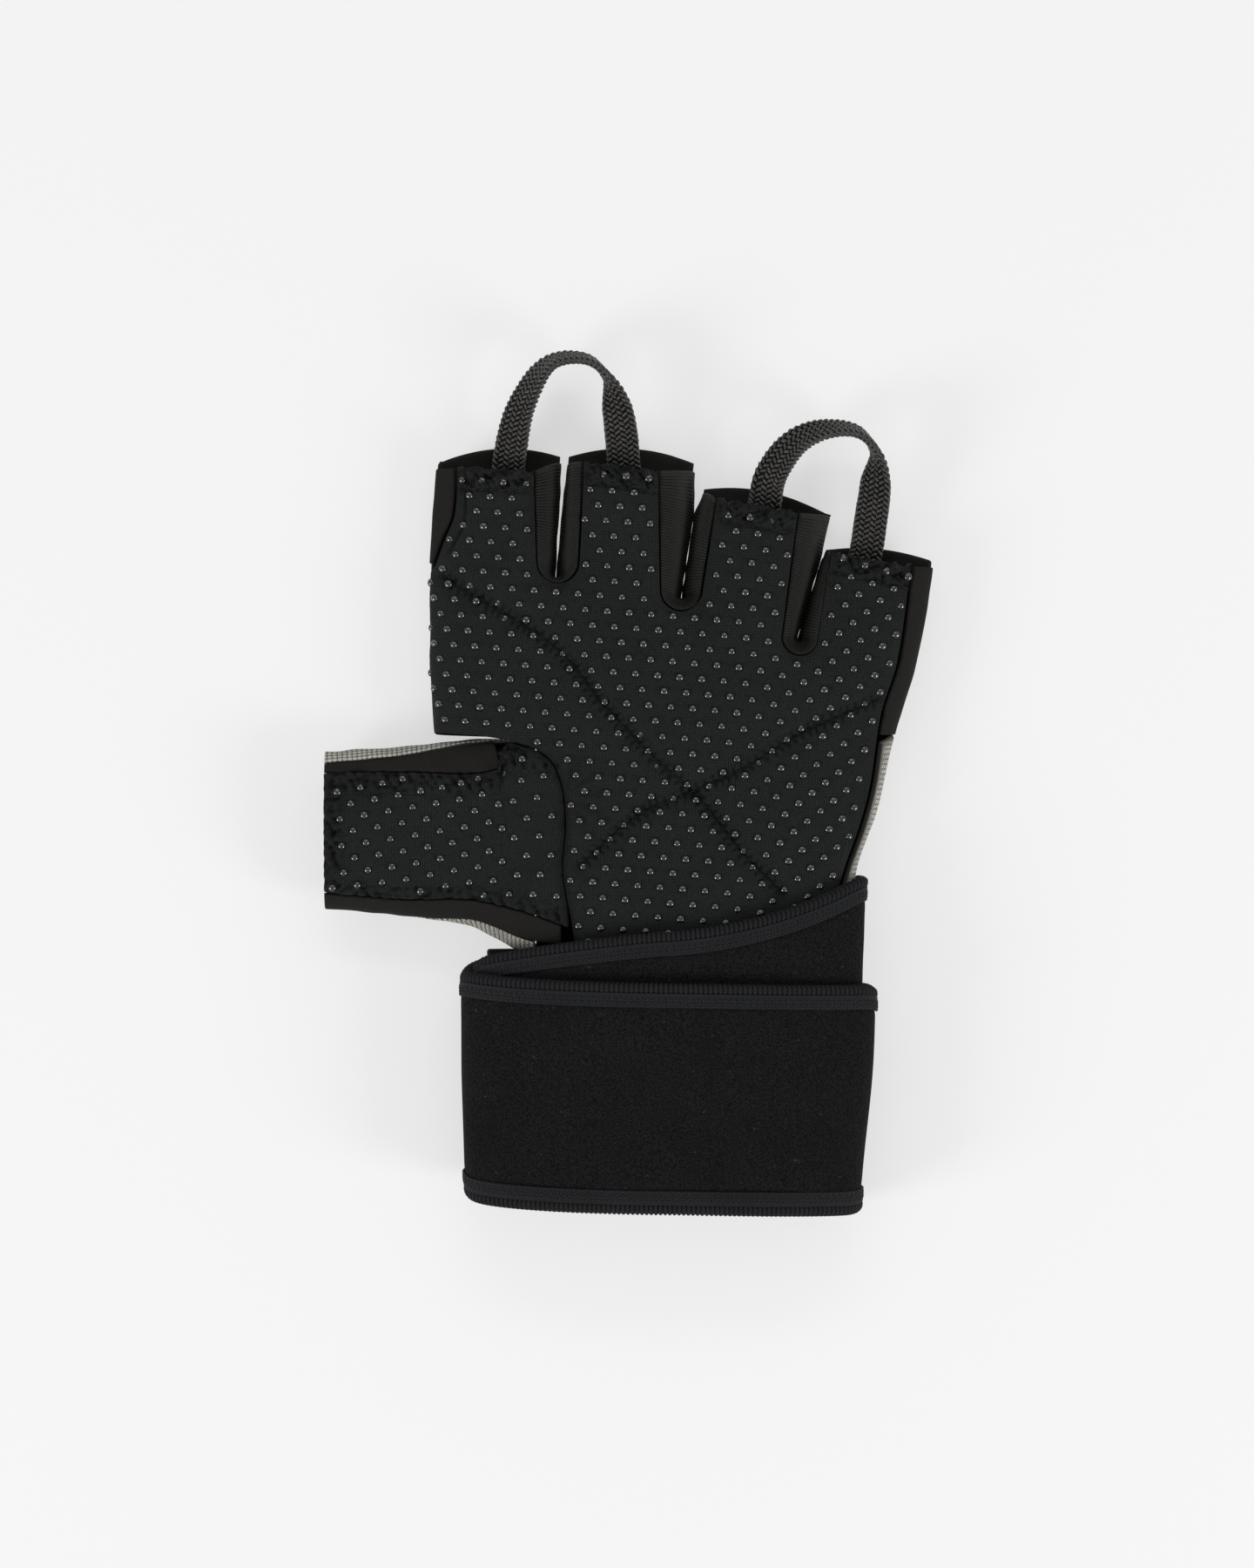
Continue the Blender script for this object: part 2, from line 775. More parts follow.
def grid_sheet(place: Points, wall: float, outward: Points, relief: Points | float = 0.0) -> Cloth:
    """Makes a closed cloth from a grid of places on its outer face, with rolled edges.

    Args:
        place: the grid, rows by columns by three.
        wall: the cloth's thickness.
        outward: a direction, or one for each point, that tells its outer side.
        relief: how far each point stands proud of the face.

    Returns:
        The closed mesh, its weave measured along the grid.
    """
    rows, columns = place.shape[:2]
    normal = unit(np.cross(np.gradient(place, axis=0), np.gradient(place, axis=1)))
    normal *= np.where((normal * outward).sum(2, keepdims=True) < 0, -1, 1)
    down = np.zeros((rows, columns))
    down[1:] = np.cumsum(np.linalg.norm(np.diff(place, axis=0), axis=2), axis=0)
    over = np.zeros((rows, columns))
    over[:, 1:] = np.cumsum(np.linalg.norm(np.diff(place, axis=1), axis=2), axis=1)
    near = np.minimum(np.minimum(down, down[-1:] - down), np.minimum(over, over[:, -1:] - over))
    depth = min(wall / 2, 0.4)
    thin = (depth * (1 - rolled(near, depth)))[..., None]
    proud = normal * (np.zeros((rows, columns)) + relief)[..., None]
    outer = (place + proud - normal * thin).reshape(-1, 3)
    inner = (place - normal * (wall - thin)).reshape(-1, 3)
    weave = np.stack([over, down], axis=2).reshape(-1, 2)
    cloth = shell(outer, inner, grid_faces(rows, columns), weave)
    cloth.values["facing"] = np.concatenate([normal.reshape(-1, 3), -normal.reshape(-1, 3)])
    return cloth


def rows_beside(line: Points, offsets: tuple[float, ...], step: float) -> Points:
    """Points in rows along a line and to both sides of it."""
    even = resampled(line, step)
    way = np.gradient(even, axis=0)
    normal = left_of(way)
    return np.concatenate([even + normal * offset for offset in offsets])


def panel_layout(
    outline: Points, spacing: float, roll: float, guides: tuple[Points, ...] = ()
) -> tuple[Points, list[tuple[int, ...]], Points]:
    """Fills a flat outline with even triangles that keep to its edge.

    Args:
        outline: the closed outline in order.
        spacing: distance between the points.
        roll: how far in from the edge the cloth rounds over.
        guides: lines that the cloth is sewn along, where the triangles are smaller.

    Returns:
        The points, the triangles, and each point's distance to the edge.
    """
    closed = np.concatenate([outline, outline[:1]])
    way = np.roll(outline, -1, axis=0) - np.roll(outline, 1, axis=0)
    normal = left_of(way)
    x, y = outline.T
    normal *= np.sign((x * np.roll(y, -1) - y * np.roll(x, -1)).sum())
    fill = [outline]
    for depth in np.array([0.12, 0.4, 0.8]) * roll:
        ring = outline + normal * depth
        keep = inside(outline, ring)
        ring = ring[keep]
        fill.append(ring[distance_to(closed, ring) > 0.93 * depth])
    low, high = outline.min(0), outline.max(0)
    rows = np.arange(low[1], high[1], spacing * math.sqrt(3) / 2)
    columns = np.arange(low[0], high[0], spacing)
    x, y = np.meshgrid(columns, rows)
    x = x + (np.arange(len(rows)) % 2)[:, None] * spacing / 2
    grid = np.stack([x.ravel(), y.ravel()], axis=1)
    beside = (-1.6, -1.15, -0.8, -0.5, -0.25, 0.0, 0.25, 0.5, 0.8, 1.15, 1.6)
    for number, guide in enumerate(guides):
        rows = rows_beside(guide, beside, 0.5)
        for other in guides[:number]:
            rows = rows[distance_to(other, rows) > 1.8]
        fill.append(rows[inside(outline, rows) & (distance_to(closed, rows) > 0.8 * roll + 0.2)])
        grid = grid[distance_to(guide, grid) > 1.6 + 0.4 * spacing]
    grid = grid[inside(outline, grid)]
    fill.append(grid[distance_to(closed, grid) > 0.8 * roll + 0.4 * spacing])
    points = np.concatenate(fill)
    count = len(outline)
    edges = [(k, (k + 1) % count) for k in range(count)]
    flat = [Vector(point) for point in points]
    made, _, faces, *_ = delaunay_2d_cdt(flat, edges, [], 1, 1e-7, False)
    places = np.array([tuple(point) for point in made])
    corners = np.array([tuple(face) for face in faces])
    corners = corners[inside(outline, places[corners].mean(1))]
    used, index = np.unique(corners, return_inverse=True)
    places = places[used]
    return places, [tuple(face) for face in index.reshape(-1, 3).tolist()], distance_to(closed, places)


def placed(name: str, data: bpy.types.ID) -> Object:
    """Makes an object of some data and adds it to the scene."""
    made = bpy.data.objects.new(name, data)
    bpy.context.scene.collection.objects.link(made)
    return made


def piece_of(name: str, cloth: Cloth) -> Object:
    """Makes a Blender object of a mesh in the making, in the frame's place.

    Args:
        name: the object's name.
        cloth: the mesh.

    Returns:
        The object, smooth shaded, with the weave as its UV map and its values as attributes.
    """
    mesh = bpy.data.meshes.new(name)
    mesh.from_pydata(((cloth.points + SHIFT) * MM).tolist(), [], cloth.faces)
    if cloth.faces:
        corner = np.empty(len(mesh.loops), np.int32)
        mesh.loops.foreach_get("vertex_index", corner)
        layer = mesh.uv_layers.new(name="Weave")
        layer.uv.foreach_set("vector", cloth.weave[corner].astype(np.float32).ravel())
        mesh.shade_smooth()
    for label, value in cloth.values.items():
        kind = "FLOAT_VECTOR" if value.ndim == 2 else "FLOAT"
        slot = "vector" if value.ndim == 2 else "value"
        layer = mesh.attributes.new(label, kind, "POINT")
        layer.data.foreach_set(slot, value.astype(np.float32).ravel())
    mesh.validate()
    return placed(name, mesh)


class Desk:
    """Adds nodes to one tree and joins them."""

    def __init__(self, tree: Tree) -> None:
        """Takes the tree to work on."""
        self.tree = tree

    def add(self, kind: str, inputs: dict | None = None, **settings: object) -> bpy.types.Node:
        """Adds a node.

        Args:
            kind: the node's type.
            inputs: what goes into its sockets, by name or number.
            settings: its properties.

        Returns:
            The node.
        """
        node = self.tree.nodes.new(kind)
        for name, value in settings.items():
            setattr(node, name, value)
        for name, value in (inputs or {}).items():
            self.feed(node.inputs[name], value)
        return node

    def feed(self, socket: Socket, value: object) -> None:
        """Joins another node's output to a socket, or sets the socket's own value."""
        if isinstance(value, Socket):
            self.tree.links.new(value, socket)
        else:
            socket.default_value = value

    def sum(self, operation: str, *values: object) -> Socket:
        """Works out one step of arithmetic."""
        return self.add("ShaderNodeMath", dict(enumerate(values)), operation=operation).outputs[0]

    def times(self, first: object, second: object) -> Socket:
        """Multiplies two values."""
        return self.sum("MULTIPLY", first, second)

    def less(self, first: object, second: object) -> Socket:
        """Takes the second value from the first."""
        return self.sum("SUBTRACT", first, second)

    def scaled(self, value: Socket, low: float, high: float) -> Socket:
        """Stretches a value of 0 to 1 onto another range."""
        return self.sum("MULTIPLY_ADD", value, high - low, low)

    def off_middle(self, value: Socket) -> Socket:
        """Rises from 0 in the middle of each whole step of a value to 1 at both its ends."""
        return self.times(self.sum("ABSOLUTE", self.less(self.sum("FRACT", value), 0.5)), 2.0)

    def noise(self, place: object, scale: object, detail: float) -> Socket:
        """Smooth random values in space."""
        inputs = {"Vector": place, "Scale": scale, "Detail": detail}
        return self.add("ShaderNodeTexNoise", inputs).outputs["Fac"]

    def ramp(self, value: Socket, low: object, high: float) -> Socket:
        """Stretches one part of a value onto 0 to 1."""
        inputs = {"Value": value, "From Min": low, "From Max": high}
        return self.add("ShaderNodeMapRange", inputs).outputs[0]

    def painted(self, name: str) -> Socket:
        """Reads one of a mesh's values in a material."""
        node = self.add("ShaderNodeAttribute", attribute_name=name, attribute_type="GEOMETRY")
        return node.outputs["Fac"]

    def named(self, name: str, kind: str = "FLOAT_VECTOR") -> Socket:
        """Reads one of a mesh's values in a geometry tree."""
        return self.add("GeometryNodeInputNamedAttribute", {"Name": name}, data_type=kind).outputs[0]

    def finished(self, geometry: Socket, material: object, out: Socket) -> None:
        """Ends a geometry tree: makes its instances real and gives them their material."""
        real = self.add("GeometryNodeRealizeInstances", {"Geometry": geometry})
        done = self.add("GeometryNodeSetMaterial", {"Geometry": real.outputs[0], "Material": material})
        self.feed(out, done.outputs[0])

    def mixed(self, share: object, first: object, second: object) -> Socket:
        """Mixes two colours."""
        node = self.add("ShaderNodeMix", data_type="RGBA")
        self.feed(node.inputs[0], share)
        self.feed(node.inputs[6], first)
        self.feed(node.inputs[7], second)
        return node.outputs[2]


def group_desk(name: str, takes: dict[str, float | None], gives: list[str]) -> tuple[Desk, dict, dict]:
    """Starts a shader node group.

    Args:
        name: the group's name.
        takes: its inputs with their usual value, or None for a vector.
        gives: its outputs.

    Returns:
        The desk, the inside sockets of its inputs, and those of its outputs.
    """
    tree = bpy.data.node_groups.new(name, "ShaderNodeTree")
    for label, usual in takes.items():
        kind = "NodeSocketVector" if usual is None else "NodeSocketFloat"
        socket = tree.interface.new_socket(label, in_out="INPUT", socket_type=kind)
        if usual is not None:
            socket.default_value = usual
    for label in gives:
        tree.interface.new_socket(label, in_out="OUTPUT", socket_type="NodeSocketFloat")
    desk = Desk(tree)
    source, target = desk.add("NodeGroupInput"), desk.add("NodeGroupOutput")
    return desk, dict(source.outputs.items()), dict(target.inputs.items())


@cache
def knit_group() -> Tree:
    """Columns of small V-shaped stitches, the face of a fine knit."""
    takes = {"Place": None, "Column": 0.54, "Stitch": 0.6, "Slant": 0.55}
    desk, got, out = group_desk("Fine knit", takes, ["Height", "Groove"])
    split = desk.add("ShaderNodeSeparateXYZ", {0: got["Place"]})
    side = desk.off_middle(desk.sum("DIVIDE", split.outputs[0], got["Column"]))
    lean = desk.times(side, got["Slant"])
    stitch = desk.sum("ADD", desk.sum("DIVIDE", split.outputs[1], got["Stitch"]), lean)
    wave = desk.scaled(desk.sum("SINE", desk.times(stitch, math.tau)), 0.5, 1.0)
    groove = desk.sum("POWER", side, 3.0)
    desk.feed(out["Height"], desk.times(desk.less(1.0, groove), desk.scaled(wave, 0.45, 1.0)))
    desk.feed(out["Groove"], groove)
    return desk.tree


@cache
def waffle_group() -> Tree:
    """Rows and columns of small raised cells with fine holes between them, the face of an airy mesh."""
    takes = {"Place": None, "Width": 0.8, "Height": 1.1, "Edge": 0.5}
    desk, got, out = group_desk("Waffle mesh", takes, ["Height", "Hole"])
    split = desk.add("ShaderNodeSeparateXYZ", {0: got["Place"]})
    across = desk.off_middle(desk.sum("DIVIDE", split.outputs[0], got["Width"]))
    along = desk.off_middle(desk.sum("DIVIDE", split.outputs[1], got["Height"]))
    both = desk.sum("ADD", desk.sum("POWER", across, 4.0), desk.sum("POWER", along, 3.0))
    rim = desk.sum("MINIMUM", both, 1.0)
    desk.feed(out["Height"], desk.less(1.0, rim))
    desk.feed(out["Hole"], desk.ramp(rim, desk.less(1.0, got["Edge"]), 1.0))
    return desk.tree


@cache
def rib_group() -> Tree:
    """Fine ribs side by side along one direction of the weave."""
    takes = {"Place": None, "Pitch": 0.5, "Waver": 0.15}
    desk, got, out = group_desk("Fine ribs", takes, ["Height", "Groove"])
    split = desk.add("ShaderNodeSeparateXYZ", {0: got["Place"]})
    shift = desk.times(desk.noise(got["Place"], 0.9, 2.0), got["Waver"])
    turn = desk.sum("ADD", desk.sum("DIVIDE", split.outputs[0], got["Pitch"]), shift)
    wave = desk.sum("ABSOLUTE", desk.sum("SINE", desk.times(turn, math.pi)))
    desk.feed(out["Height"], wave)
    desk.feed(out["Groove"], desk.sum("POWER", desk.less(1.0, wave), 2.0))
    return desk.tree


@cache
def wear_group() -> Tree:
    """Uneven dye and stray lint, in the object's own place."""
    takes = {"Place": None, "Patch": 90.0, "Speck": 1500.0, "Amount": 1.0}
    desk, got, out = group_desk("Cloth wear", takes, ["Patch", "Speck", "Grain", "Fleck"])
    place = got["Place"]
    speck = desk.noise(place, got["Speck"], 1.0)
    fleck = desk.noise(place, desk.times(got["Speck"], 2.6), 1.0)
    desk.feed(out["Fleck"], desk.ramp(fleck, 0.35, 0.65))
    desk.feed(out["Patch"], desk.times(desk.noise(place, got["Patch"], 3.0), got["Amount"]))
    desk.feed(out["Speck"], desk.times(desk.ramp(speck, 0.72, 0.8), got["Amount"]))
    desk.feed(out["Grain"], speck)
    return desk.tree


class Pattern(Enum):
    """How a finish is made, which decides the pattern on its surface."""

    KNIT = "knit"
    WAFFLE = "waffle"
    RIBS = "ribs"
    PLAIN = "plain"


@dataclass(frozen=True)
class Finish:
    """One finish of the glove and the node material that it makes. Colours are as seen, 0 to 255."""

    name: str
    slot: str
    color: tuple[float, float, float]
    deep: tuple[float, float, float]
    lining: tuple[float, float, float]
    roughness: float
    pattern: Pattern
    cell: tuple[float, float] = (0.54, 0.6)
    relief: float = 0.06
    grain: float = 0.03
    sheen: float = 0.0
    lint: float = 0.25
    coat: float = 0.0
    specular: float = 0.2
    fleck: float = 0.5
    speck: float = 1500.0

    @cache
    def material(self) -> bpy.types.Material:
        """Builds the node material, once for each finish.

        Returns:
            A material whose weave, wear and bump follow the surface.
        """
        material = bpy.data.materials.new(self.name)
        material.use_nodes = True
        desk = Desk(material.node_tree)
        shader = material.node_tree.nodes["Principled BSDF"]
        place = desk.add("ShaderNodeTexCoord").outputs["Object"]
        weave = desk.add("ShaderNodeUVMap", uv_map="Weave").outputs[0]
        wear = desk.add("ShaderNodeGroup", node_tree=wear_group())
        desk.feed(wear.inputs["Place"], place)
        wear.inputs["Amount"].default_value = 1.0
        wear.inputs["Speck"].default_value = self.speck
        grain = wear.outputs["Grain"]
        side = desk.painted("lining")
        groove: object = 0.0
        groups = {Pattern.KNIT: knit_group, Pattern.WAFFLE: waffle_group, Pattern.RIBS: rib_group}
        if self.pattern in groups:
            face = desk.less(1.0, side)
            cells = desk.add("ShaderNodeGroup", node_tree=groups[self.pattern]())
            desk.feed(cells.inputs["Place"], weave)
            for number, size in enumerate(self.cell, start=1):
                cells.inputs[number].default_value = size
            groove = desk.times(cells.outputs[1], face)
            fine = desk.times(desk.times(cells.outputs[0], self.relief), face)
            height = desk.sum("MULTIPLY_ADD", grain, self.grain, fine)
        else:
            height = desk.times(grain, self.grain)
        deep = linear(*self.deep)
        pale = linear(*(min(channel + LINT_PALER, LINT_MOST) for channel in self.color))
        dark = linear(*(channel / 3 for channel in self.deep))
        tone = desk.mixed(desk.times(wear.outputs["Patch"], 0.5), linear(*self.color), deep)
        tone = desk.mixed(desk.times(wear.outputs["Fleck"], self.fleck), tone, deep)
        tone = desk.mixed(groove, tone, deep)
        tone = desk.mixed(desk.times(desk.painted("shade"), SHADE_DEPTH), tone, dark)
        tone = desk.mixed(desk.times(wear.outputs["Speck"], self.lint), tone, pale)
        tone = desk.mixed(side, tone, linear(*self.lining))
        desk.feed(shader.inputs["Base Color"], tone)
        rough = desk.scaled(grain, self.roughness - 0.06, self.roughness + 0.06)
        desk.feed(shader.inputs["Roughness"], rough)
        bump = desk.add("ShaderNodeBump", {"Height": height, "Strength": 1.0, "Distance": MM})
        desk.feed(shader.inputs["Normal"], bump.outputs[0])
        settings = {
            "Specular IOR Level": self.specular,
            "Sheen Weight": self.sheen,
            "Sheen Roughness": 0.45,
            "Coat Weight": self.coat,
            "Coat Roughness": 0.08,
        }
        for label, value in settings.items():
            shader.inputs[label].default_value = value
        return material


NO_CELL = (0.0, 0.0)
PALM_KNIT = Finish(
    "palm knit", "palm_knit", (37, 39, 39), (6, 7, 7), (20, 20, 19), 0.86, Pattern.KNIT,
    (0.54, 0.7), 0.17, 0.05, 0.02, 0.05, 0.0, 0.2, 0.7,
)
BACK_MESH = Finish(
    "back mesh", "back_mesh", (212, 210, 201), (78, 76, 69), (30, 29, 27), 0.9, Pattern.WAFFLE,
    (0.8, 1.15), 0.3, 0.04, 0.0, 0.0,
)
BLACK_CLOTH = Finish(
    "black cloth", "black_cloth", (27, 26, 24), (15, 14, 13), (20, 20, 19), 0.88, Pattern.PLAIN,
    NO_CELL, 0.0, 0.05, 0.02, 0.12,
)
ELASTIC = Finish(
    "ribbed elastic", "ribbed_elastic", (45, 45, 42), (10, 10, 9), (30, 30, 28), 0.8, Pattern.PLAIN,
    NO_CELL, 0.0, 0.04, 0.02, 0.05,
)
BRAID = Finish(
    "loop braid", "loop_braid", (54, 52, 46), (14, 13, 11), (14, 13, 12), 0.42, Pattern.PLAIN,
    NO_CELL, 0.0, 0.08, 0.05, 0.05, 0.0, 0.6, 0.7,
)
BRAID_CORE = Finish(
    "loop core", "loop_braid", (9, 8, 7), (5, 5, 4), (8, 8, 7), 0.95, Pattern.PLAIN,
)
NEOPRENE = Finish(
    "neoprene", "neoprene", (29, 29, 30), (2, 2, 2), (14, 14, 15), 0.92, Pattern.PLAIN,
    NO_CELL, 0.0, 0.12, 0.0, 0.09, 0.0, 0.12, 0.92, 980.0,
)
COVER_THREAD = Finish(
    "cover thread", "binding_tape", (36, 37, 40), (8, 8, 9), (16, 16, 17), 0.66, Pattern.PLAIN,
    NO_CELL, 0.0, 0.02, 0.03, 0.05,
)
BINDING = Finish(
    "binding tape", "binding_tape", (28, 29, 33), (2, 2, 3), (16, 16, 17), 0.75, Pattern.RIBS,
    (1.1, 0.0), 0.02, 0.05, 0.03, 0.1, 0.0, 0.2, 0.25,
)
HOOK_TAPE = Finish(
    "hook tape", "hook_tape", (24, 24, 25), (9, 9, 10), (16, 16, 16), 0.82, Pattern.WAFFLE,
    (0.7, 0.7), 0.12, 0.04, 0.0, 0.1,
)
GRIP_RUBBER = Finish(
    "grip rubber", "grip_dots", (8, 8, 8), (6, 6, 6), (8, 8, 8), 0.2, Pattern.PLAIN,
    NO_CELL, 0.0, 0.002, 0.0, 0.0, 0.5, 0.9,
)
THREAD = Finish(
    "sewing thread", "sewing_thread", (34, 35, 37), (14, 14, 15), (26, 26, 27), 0.66, Pattern.PLAIN,
    NO_CELL, 0.0, 0.02, 0.05, 0.0,
)


def dressed(
    piece: Object, finish: Finish, replaces: tuple[str, ...] = ()
) -> Object:
    """Gives a finished piece its material and its place in the frame.

    Args:
        piece: the object.
        finish: its finish.
        replaces: the CAD nodes that it stands for.

    Returns:
        The same object.
    """
    piece.data.materials.clear()
    piece.data.materials.append(finish.material())
    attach(piece, ROOT)
    if replaces:
        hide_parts(*replaces)
    faces = sum(len(face.vertices) - 2 for face in piece.data.polygons)
    LOG.info("%s: %d triangles, %s", piece.name, faces, finish.name)
    return piece


def tree_desk(name: str, takes: dict[str, tuple[str, object]]) -> tuple[Desk, dict, Socket]:
    """Starts a geometry node tree with a geometry, a material and named sizes.

    Args:
        name: the tree's name.
        takes: its sizes, each with its socket type and usual value.

    Returns:
        The desk, the sockets of its inputs, and the socket of its output.
    """
    tree = bpy.data.node_groups.new(name, "GeometryNodeTree")
    tree.interface.new_socket("Geometry", in_out="INPUT", socket_type="NodeSocketGeometry")
    for label, (kind, usual) in takes.items():
        tree.interface.new_socket(label, in_out="INPUT", socket_type=kind).default_value = usual
    tree.interface.new_socket("Material", in_out="INPUT", socket_type="NodeSocketMaterial")
    tree.interface.new_socket("Geometry", in_out="OUTPUT", socket_type="NodeSocketGeometry")
    desk = Desk(tree)
    source, target = desk.add("NodeGroupInput"), desk.add("NodeGroupOutput")
    return desk, dict(source.outputs.items()), target.inputs[0]


class Bead(Enum):
    """The small body that is repeated over a surface, by its segments and rings."""

    DOME = (9, 6)
    STITCH = (6, 5)


@cache
def bead_tree(bead: Bead) -> Tree:
    """Puts one small round body on each point, turned to the cloth by the point's own directions."""
    size = "NodeSocketFloat"
    takes = {
        "Length": (size, 0.002),
        "Width": (size, 0.0005),
        "Height": (size, 0.0005),
        "Size variation": (size, 0.05),
        "Seed": ("NodeSocketInt", 1),
    }
    desk, got, out = tree_desk(f"Beads {bead.name.lower()}", takes)
    segments, rings = bead.value
    measures = {"Segments": segments, "Rings": rings, "Radius": 0.5}
    ball = desk.add("GeometryNodeMeshUVSphere", measures)
    scale = desk.add("ShaderNodeCombineXYZ", {0: got["Length"], 1: got["Width"], 2: got["Height"]})
    shaped = desk.add("GeometryNodeTransform", {"Geometry": ball.outputs[0], "Scale": scale.outputs[0]})
    smooth = desk.add("GeometryNodeSetShadeSmooth", {"Geometry": shaped.outputs[0]})
    align = "FunctionNodeAlignRotationToVector"
    upright = desk.add(align, {"Vector": desk.named("facing")}, axis="Z").outputs[0]
    headed = {"Rotation": upright, "Vector": desk.named("heading")}
    turned = desk.add(align, headed, axis="X", pivot_axis="Z")
    chance = desk.add("FunctionNodeRandomValue", data_type="FLOAT")
    desk.feed(chance.inputs[2], desk.less(1.0, got["Size variation"]))
    desk.feed(chance.inputs[3], desk.sum("ADD", 1.0, got["Size variation"]))
    desk.feed(chance.inputs["Seed"], got["Seed"])
    spread = desk.add(
        "GeometryNodeInstanceOnPoints",
        {
            "Points": got["Geometry"],
            "Instance": smooth.outputs[0],
            "Rotation": turned.outputs[0],
            "Scale": chance.outputs[1],
        },
    )
    desk.finished(spread.outputs[0], got["Material"], out)
    return desk.tree


@cache
def rib_tree() -> Tree:
    """Raises even ribs on a cloth along its value "run", where its value "ribbed" lets them."""
    takes = {"Pitch": ("NodeSocketFloat", 0.55), "Depth": ("NodeSocketFloat", 0.0002)}
    desk, got, out = tree_desk("Raised ribs", takes)
    turn = desk.times(desk.sum("DIVIDE", desk.named("run", "FLOAT"), got["Pitch"]), math.pi)
    wave = desk.less(desk.sum("ABSOLUTE", desk.sum("SINE", turn)), 1.0)
    lift = desk.times(desk.times(wave, got["Depth"]), desk.named("ribbed", "FLOAT"))
    push = desk.add("ShaderNodeVectorMath", {0: desk.named("facing"), "Scale": lift}, operation="SCALE")
    moved = desk.add("GeometryNodeSetPosition", {"Geometry": got["Geometry"], "Offset": push.outputs[0]})
    desk.finished(moved.outputs[0], got["Material"], out)
    return desk.tree


def worked(piece: Object, tree: Tree, inputs: dict[str, object]) -> Object:
    """Runs a geometry node tree on a piece and keeps the result as its plain mesh.

    Args:
        piece: the object.
        tree: the tree.
        inputs: values for the tree's named inputs.

    Returns:
        The same object with its new mesh and no modifier.
    """
    modifier = piece.modifiers.new("Rule", "NODES")
    modifier.node_group = tree
    for item in tree.interface.items_tree:
        if item.item_type == "SOCKET" and item.in_out == "INPUT" and item.name in inputs:
            modifier[item.identifier] = inputs[item.name]
    graph = bpy.context.evaluated_depsgraph_get()
    mesh = bpy.data.meshes.new_from_object(piece.evaluated_get(graph), depsgraph=graph)
    piece.modifiers.clear()
    piece.data = mesh
    mesh.name = piece.name
    return piece


@dataclass
class Spots:
    """Places on a cloth with the way out of it and a way along it."""

    points: list[Points] = field(default_factory=list)
    facing: list[Points] = field(default_factory=list)
    heading: list[Points] = field(default_factory=list)

    def put(self, points: Points, facing: Points, heading: Points) -> None:
        """Adds places."""
        self.points.append(points)
        self.facing.append(facing)
        self.heading.append(heading)

    def sewn(
        self, line: Points, facing: Points, pitch: float, slant: float = 0.0, sink: float = 0.0
    ) -> None:
        """Adds a row of stitches.

        Args:
            line: the seam's points.
            facing: the cloth's outward direction at them.
            pitch: from one stitch to the next.
            slant: how far each stitch leans across the seam, in radians; it alternates if negative.
            sink: how deep the stitches lie in the cloth.
        """
        both = resampled(np.concatenate([line, facing], axis=1), pitch / 4)
        both = both[2::4]
        spot, out = both[:, :3], both[:, 3:]
        out = unit(out)
        way = unit(np.gradient(spot, axis=0))
        side = np.cross(out, way)
        lean = np.full(len(spot), abs(slant))
        if slant < 0:
            lean[::2] *= -1
        way = way * np.cos(lean)[:, None] + side * np.sin(lean)[:, None]
        self.put(spot - out * sink, out, way)

    def beads(
        self, name: str, bead: Bead, finish: Finish, size: tuple[float, float, float], seed: int
    ) -> None:
        """Makes one piece with a small body on every place.

        Args:
            name: the piece's name.
            bead: which body.
            finish: its finish.
            size: length, width and height of the body in millimetres.
            seed: for the small differences in size.
        """
        points = np.concatenate(self.points)
        values = {"facing": np.concatenate(self.facing), "heading": np.concatenate(self.heading)}
        piece = piece_of(name, Cloth(points, [], points[:, :2], values))
        inputs = dict(zip(("Length", "Width", "Height"), (value * MM for value in size)))
        inputs |= {"Size variation": 0.08, "Seed": seed, "Material": finish.material()}
        dressed(worked(piece, bead_tree(bead), inputs), finish)


def grip_dots(name: str, place: Points, facing: Points, seed: int) -> None:
    """Makes one piece of grip dots that sink a little into the knit.

    Args:
        name: the piece's name.
        place: the dots' places on the knit.
        facing: the knit's outward direction at them.
        seed: for the small differences in size.
    """
    spots = Spots()
    spots.put(place - facing * DOT_SINK, facing, np.tile([1.0, 0, 0], (len(place), 1)))
    spots.beads(name, Bead.DOME, GRIP_RUBBER, DOT_SIZE, seed)


PALM_CHART = HandChart(0, -math.pi / 2, math.pi / 2)
BACK_CHART = HandChart(math.pi, 0.3, 3 * math.pi / 2)


def plan(spot: tuple[float, float]) -> Points:
    """A place given in shares of the palm's width and the hand's length."""
    return np.array([HAND.width * spot[0], HAND.length * spot[1]])


def slot_edge(slot: Slot, grow: float = 0.0, step: float = 0.6) -> Points:
    """The palm's edge round one slot, from its left hem corner to its right one.

    Args:
        slot: the slot.
        grow: how far the edge is moved into the palm.
        step: spacing of the points.

    Returns:
        Points in the plan.
    """
    radius = HAND.width * slot.radius + grow
    web = plan(slot.web) + [0, HAND.width * slot.radius]
    turn = np.linspace(math.pi, math.tau, 25)
    round_end = web + radius * np.stack([np.cos(turn), np.sin(turn)], axis=1)
    left, right = plan(slot.left) - [grow, 0], plan(slot.right) + [grow, 0]
    return resampled(np.concatenate([[left], round_end, [right]]), step)


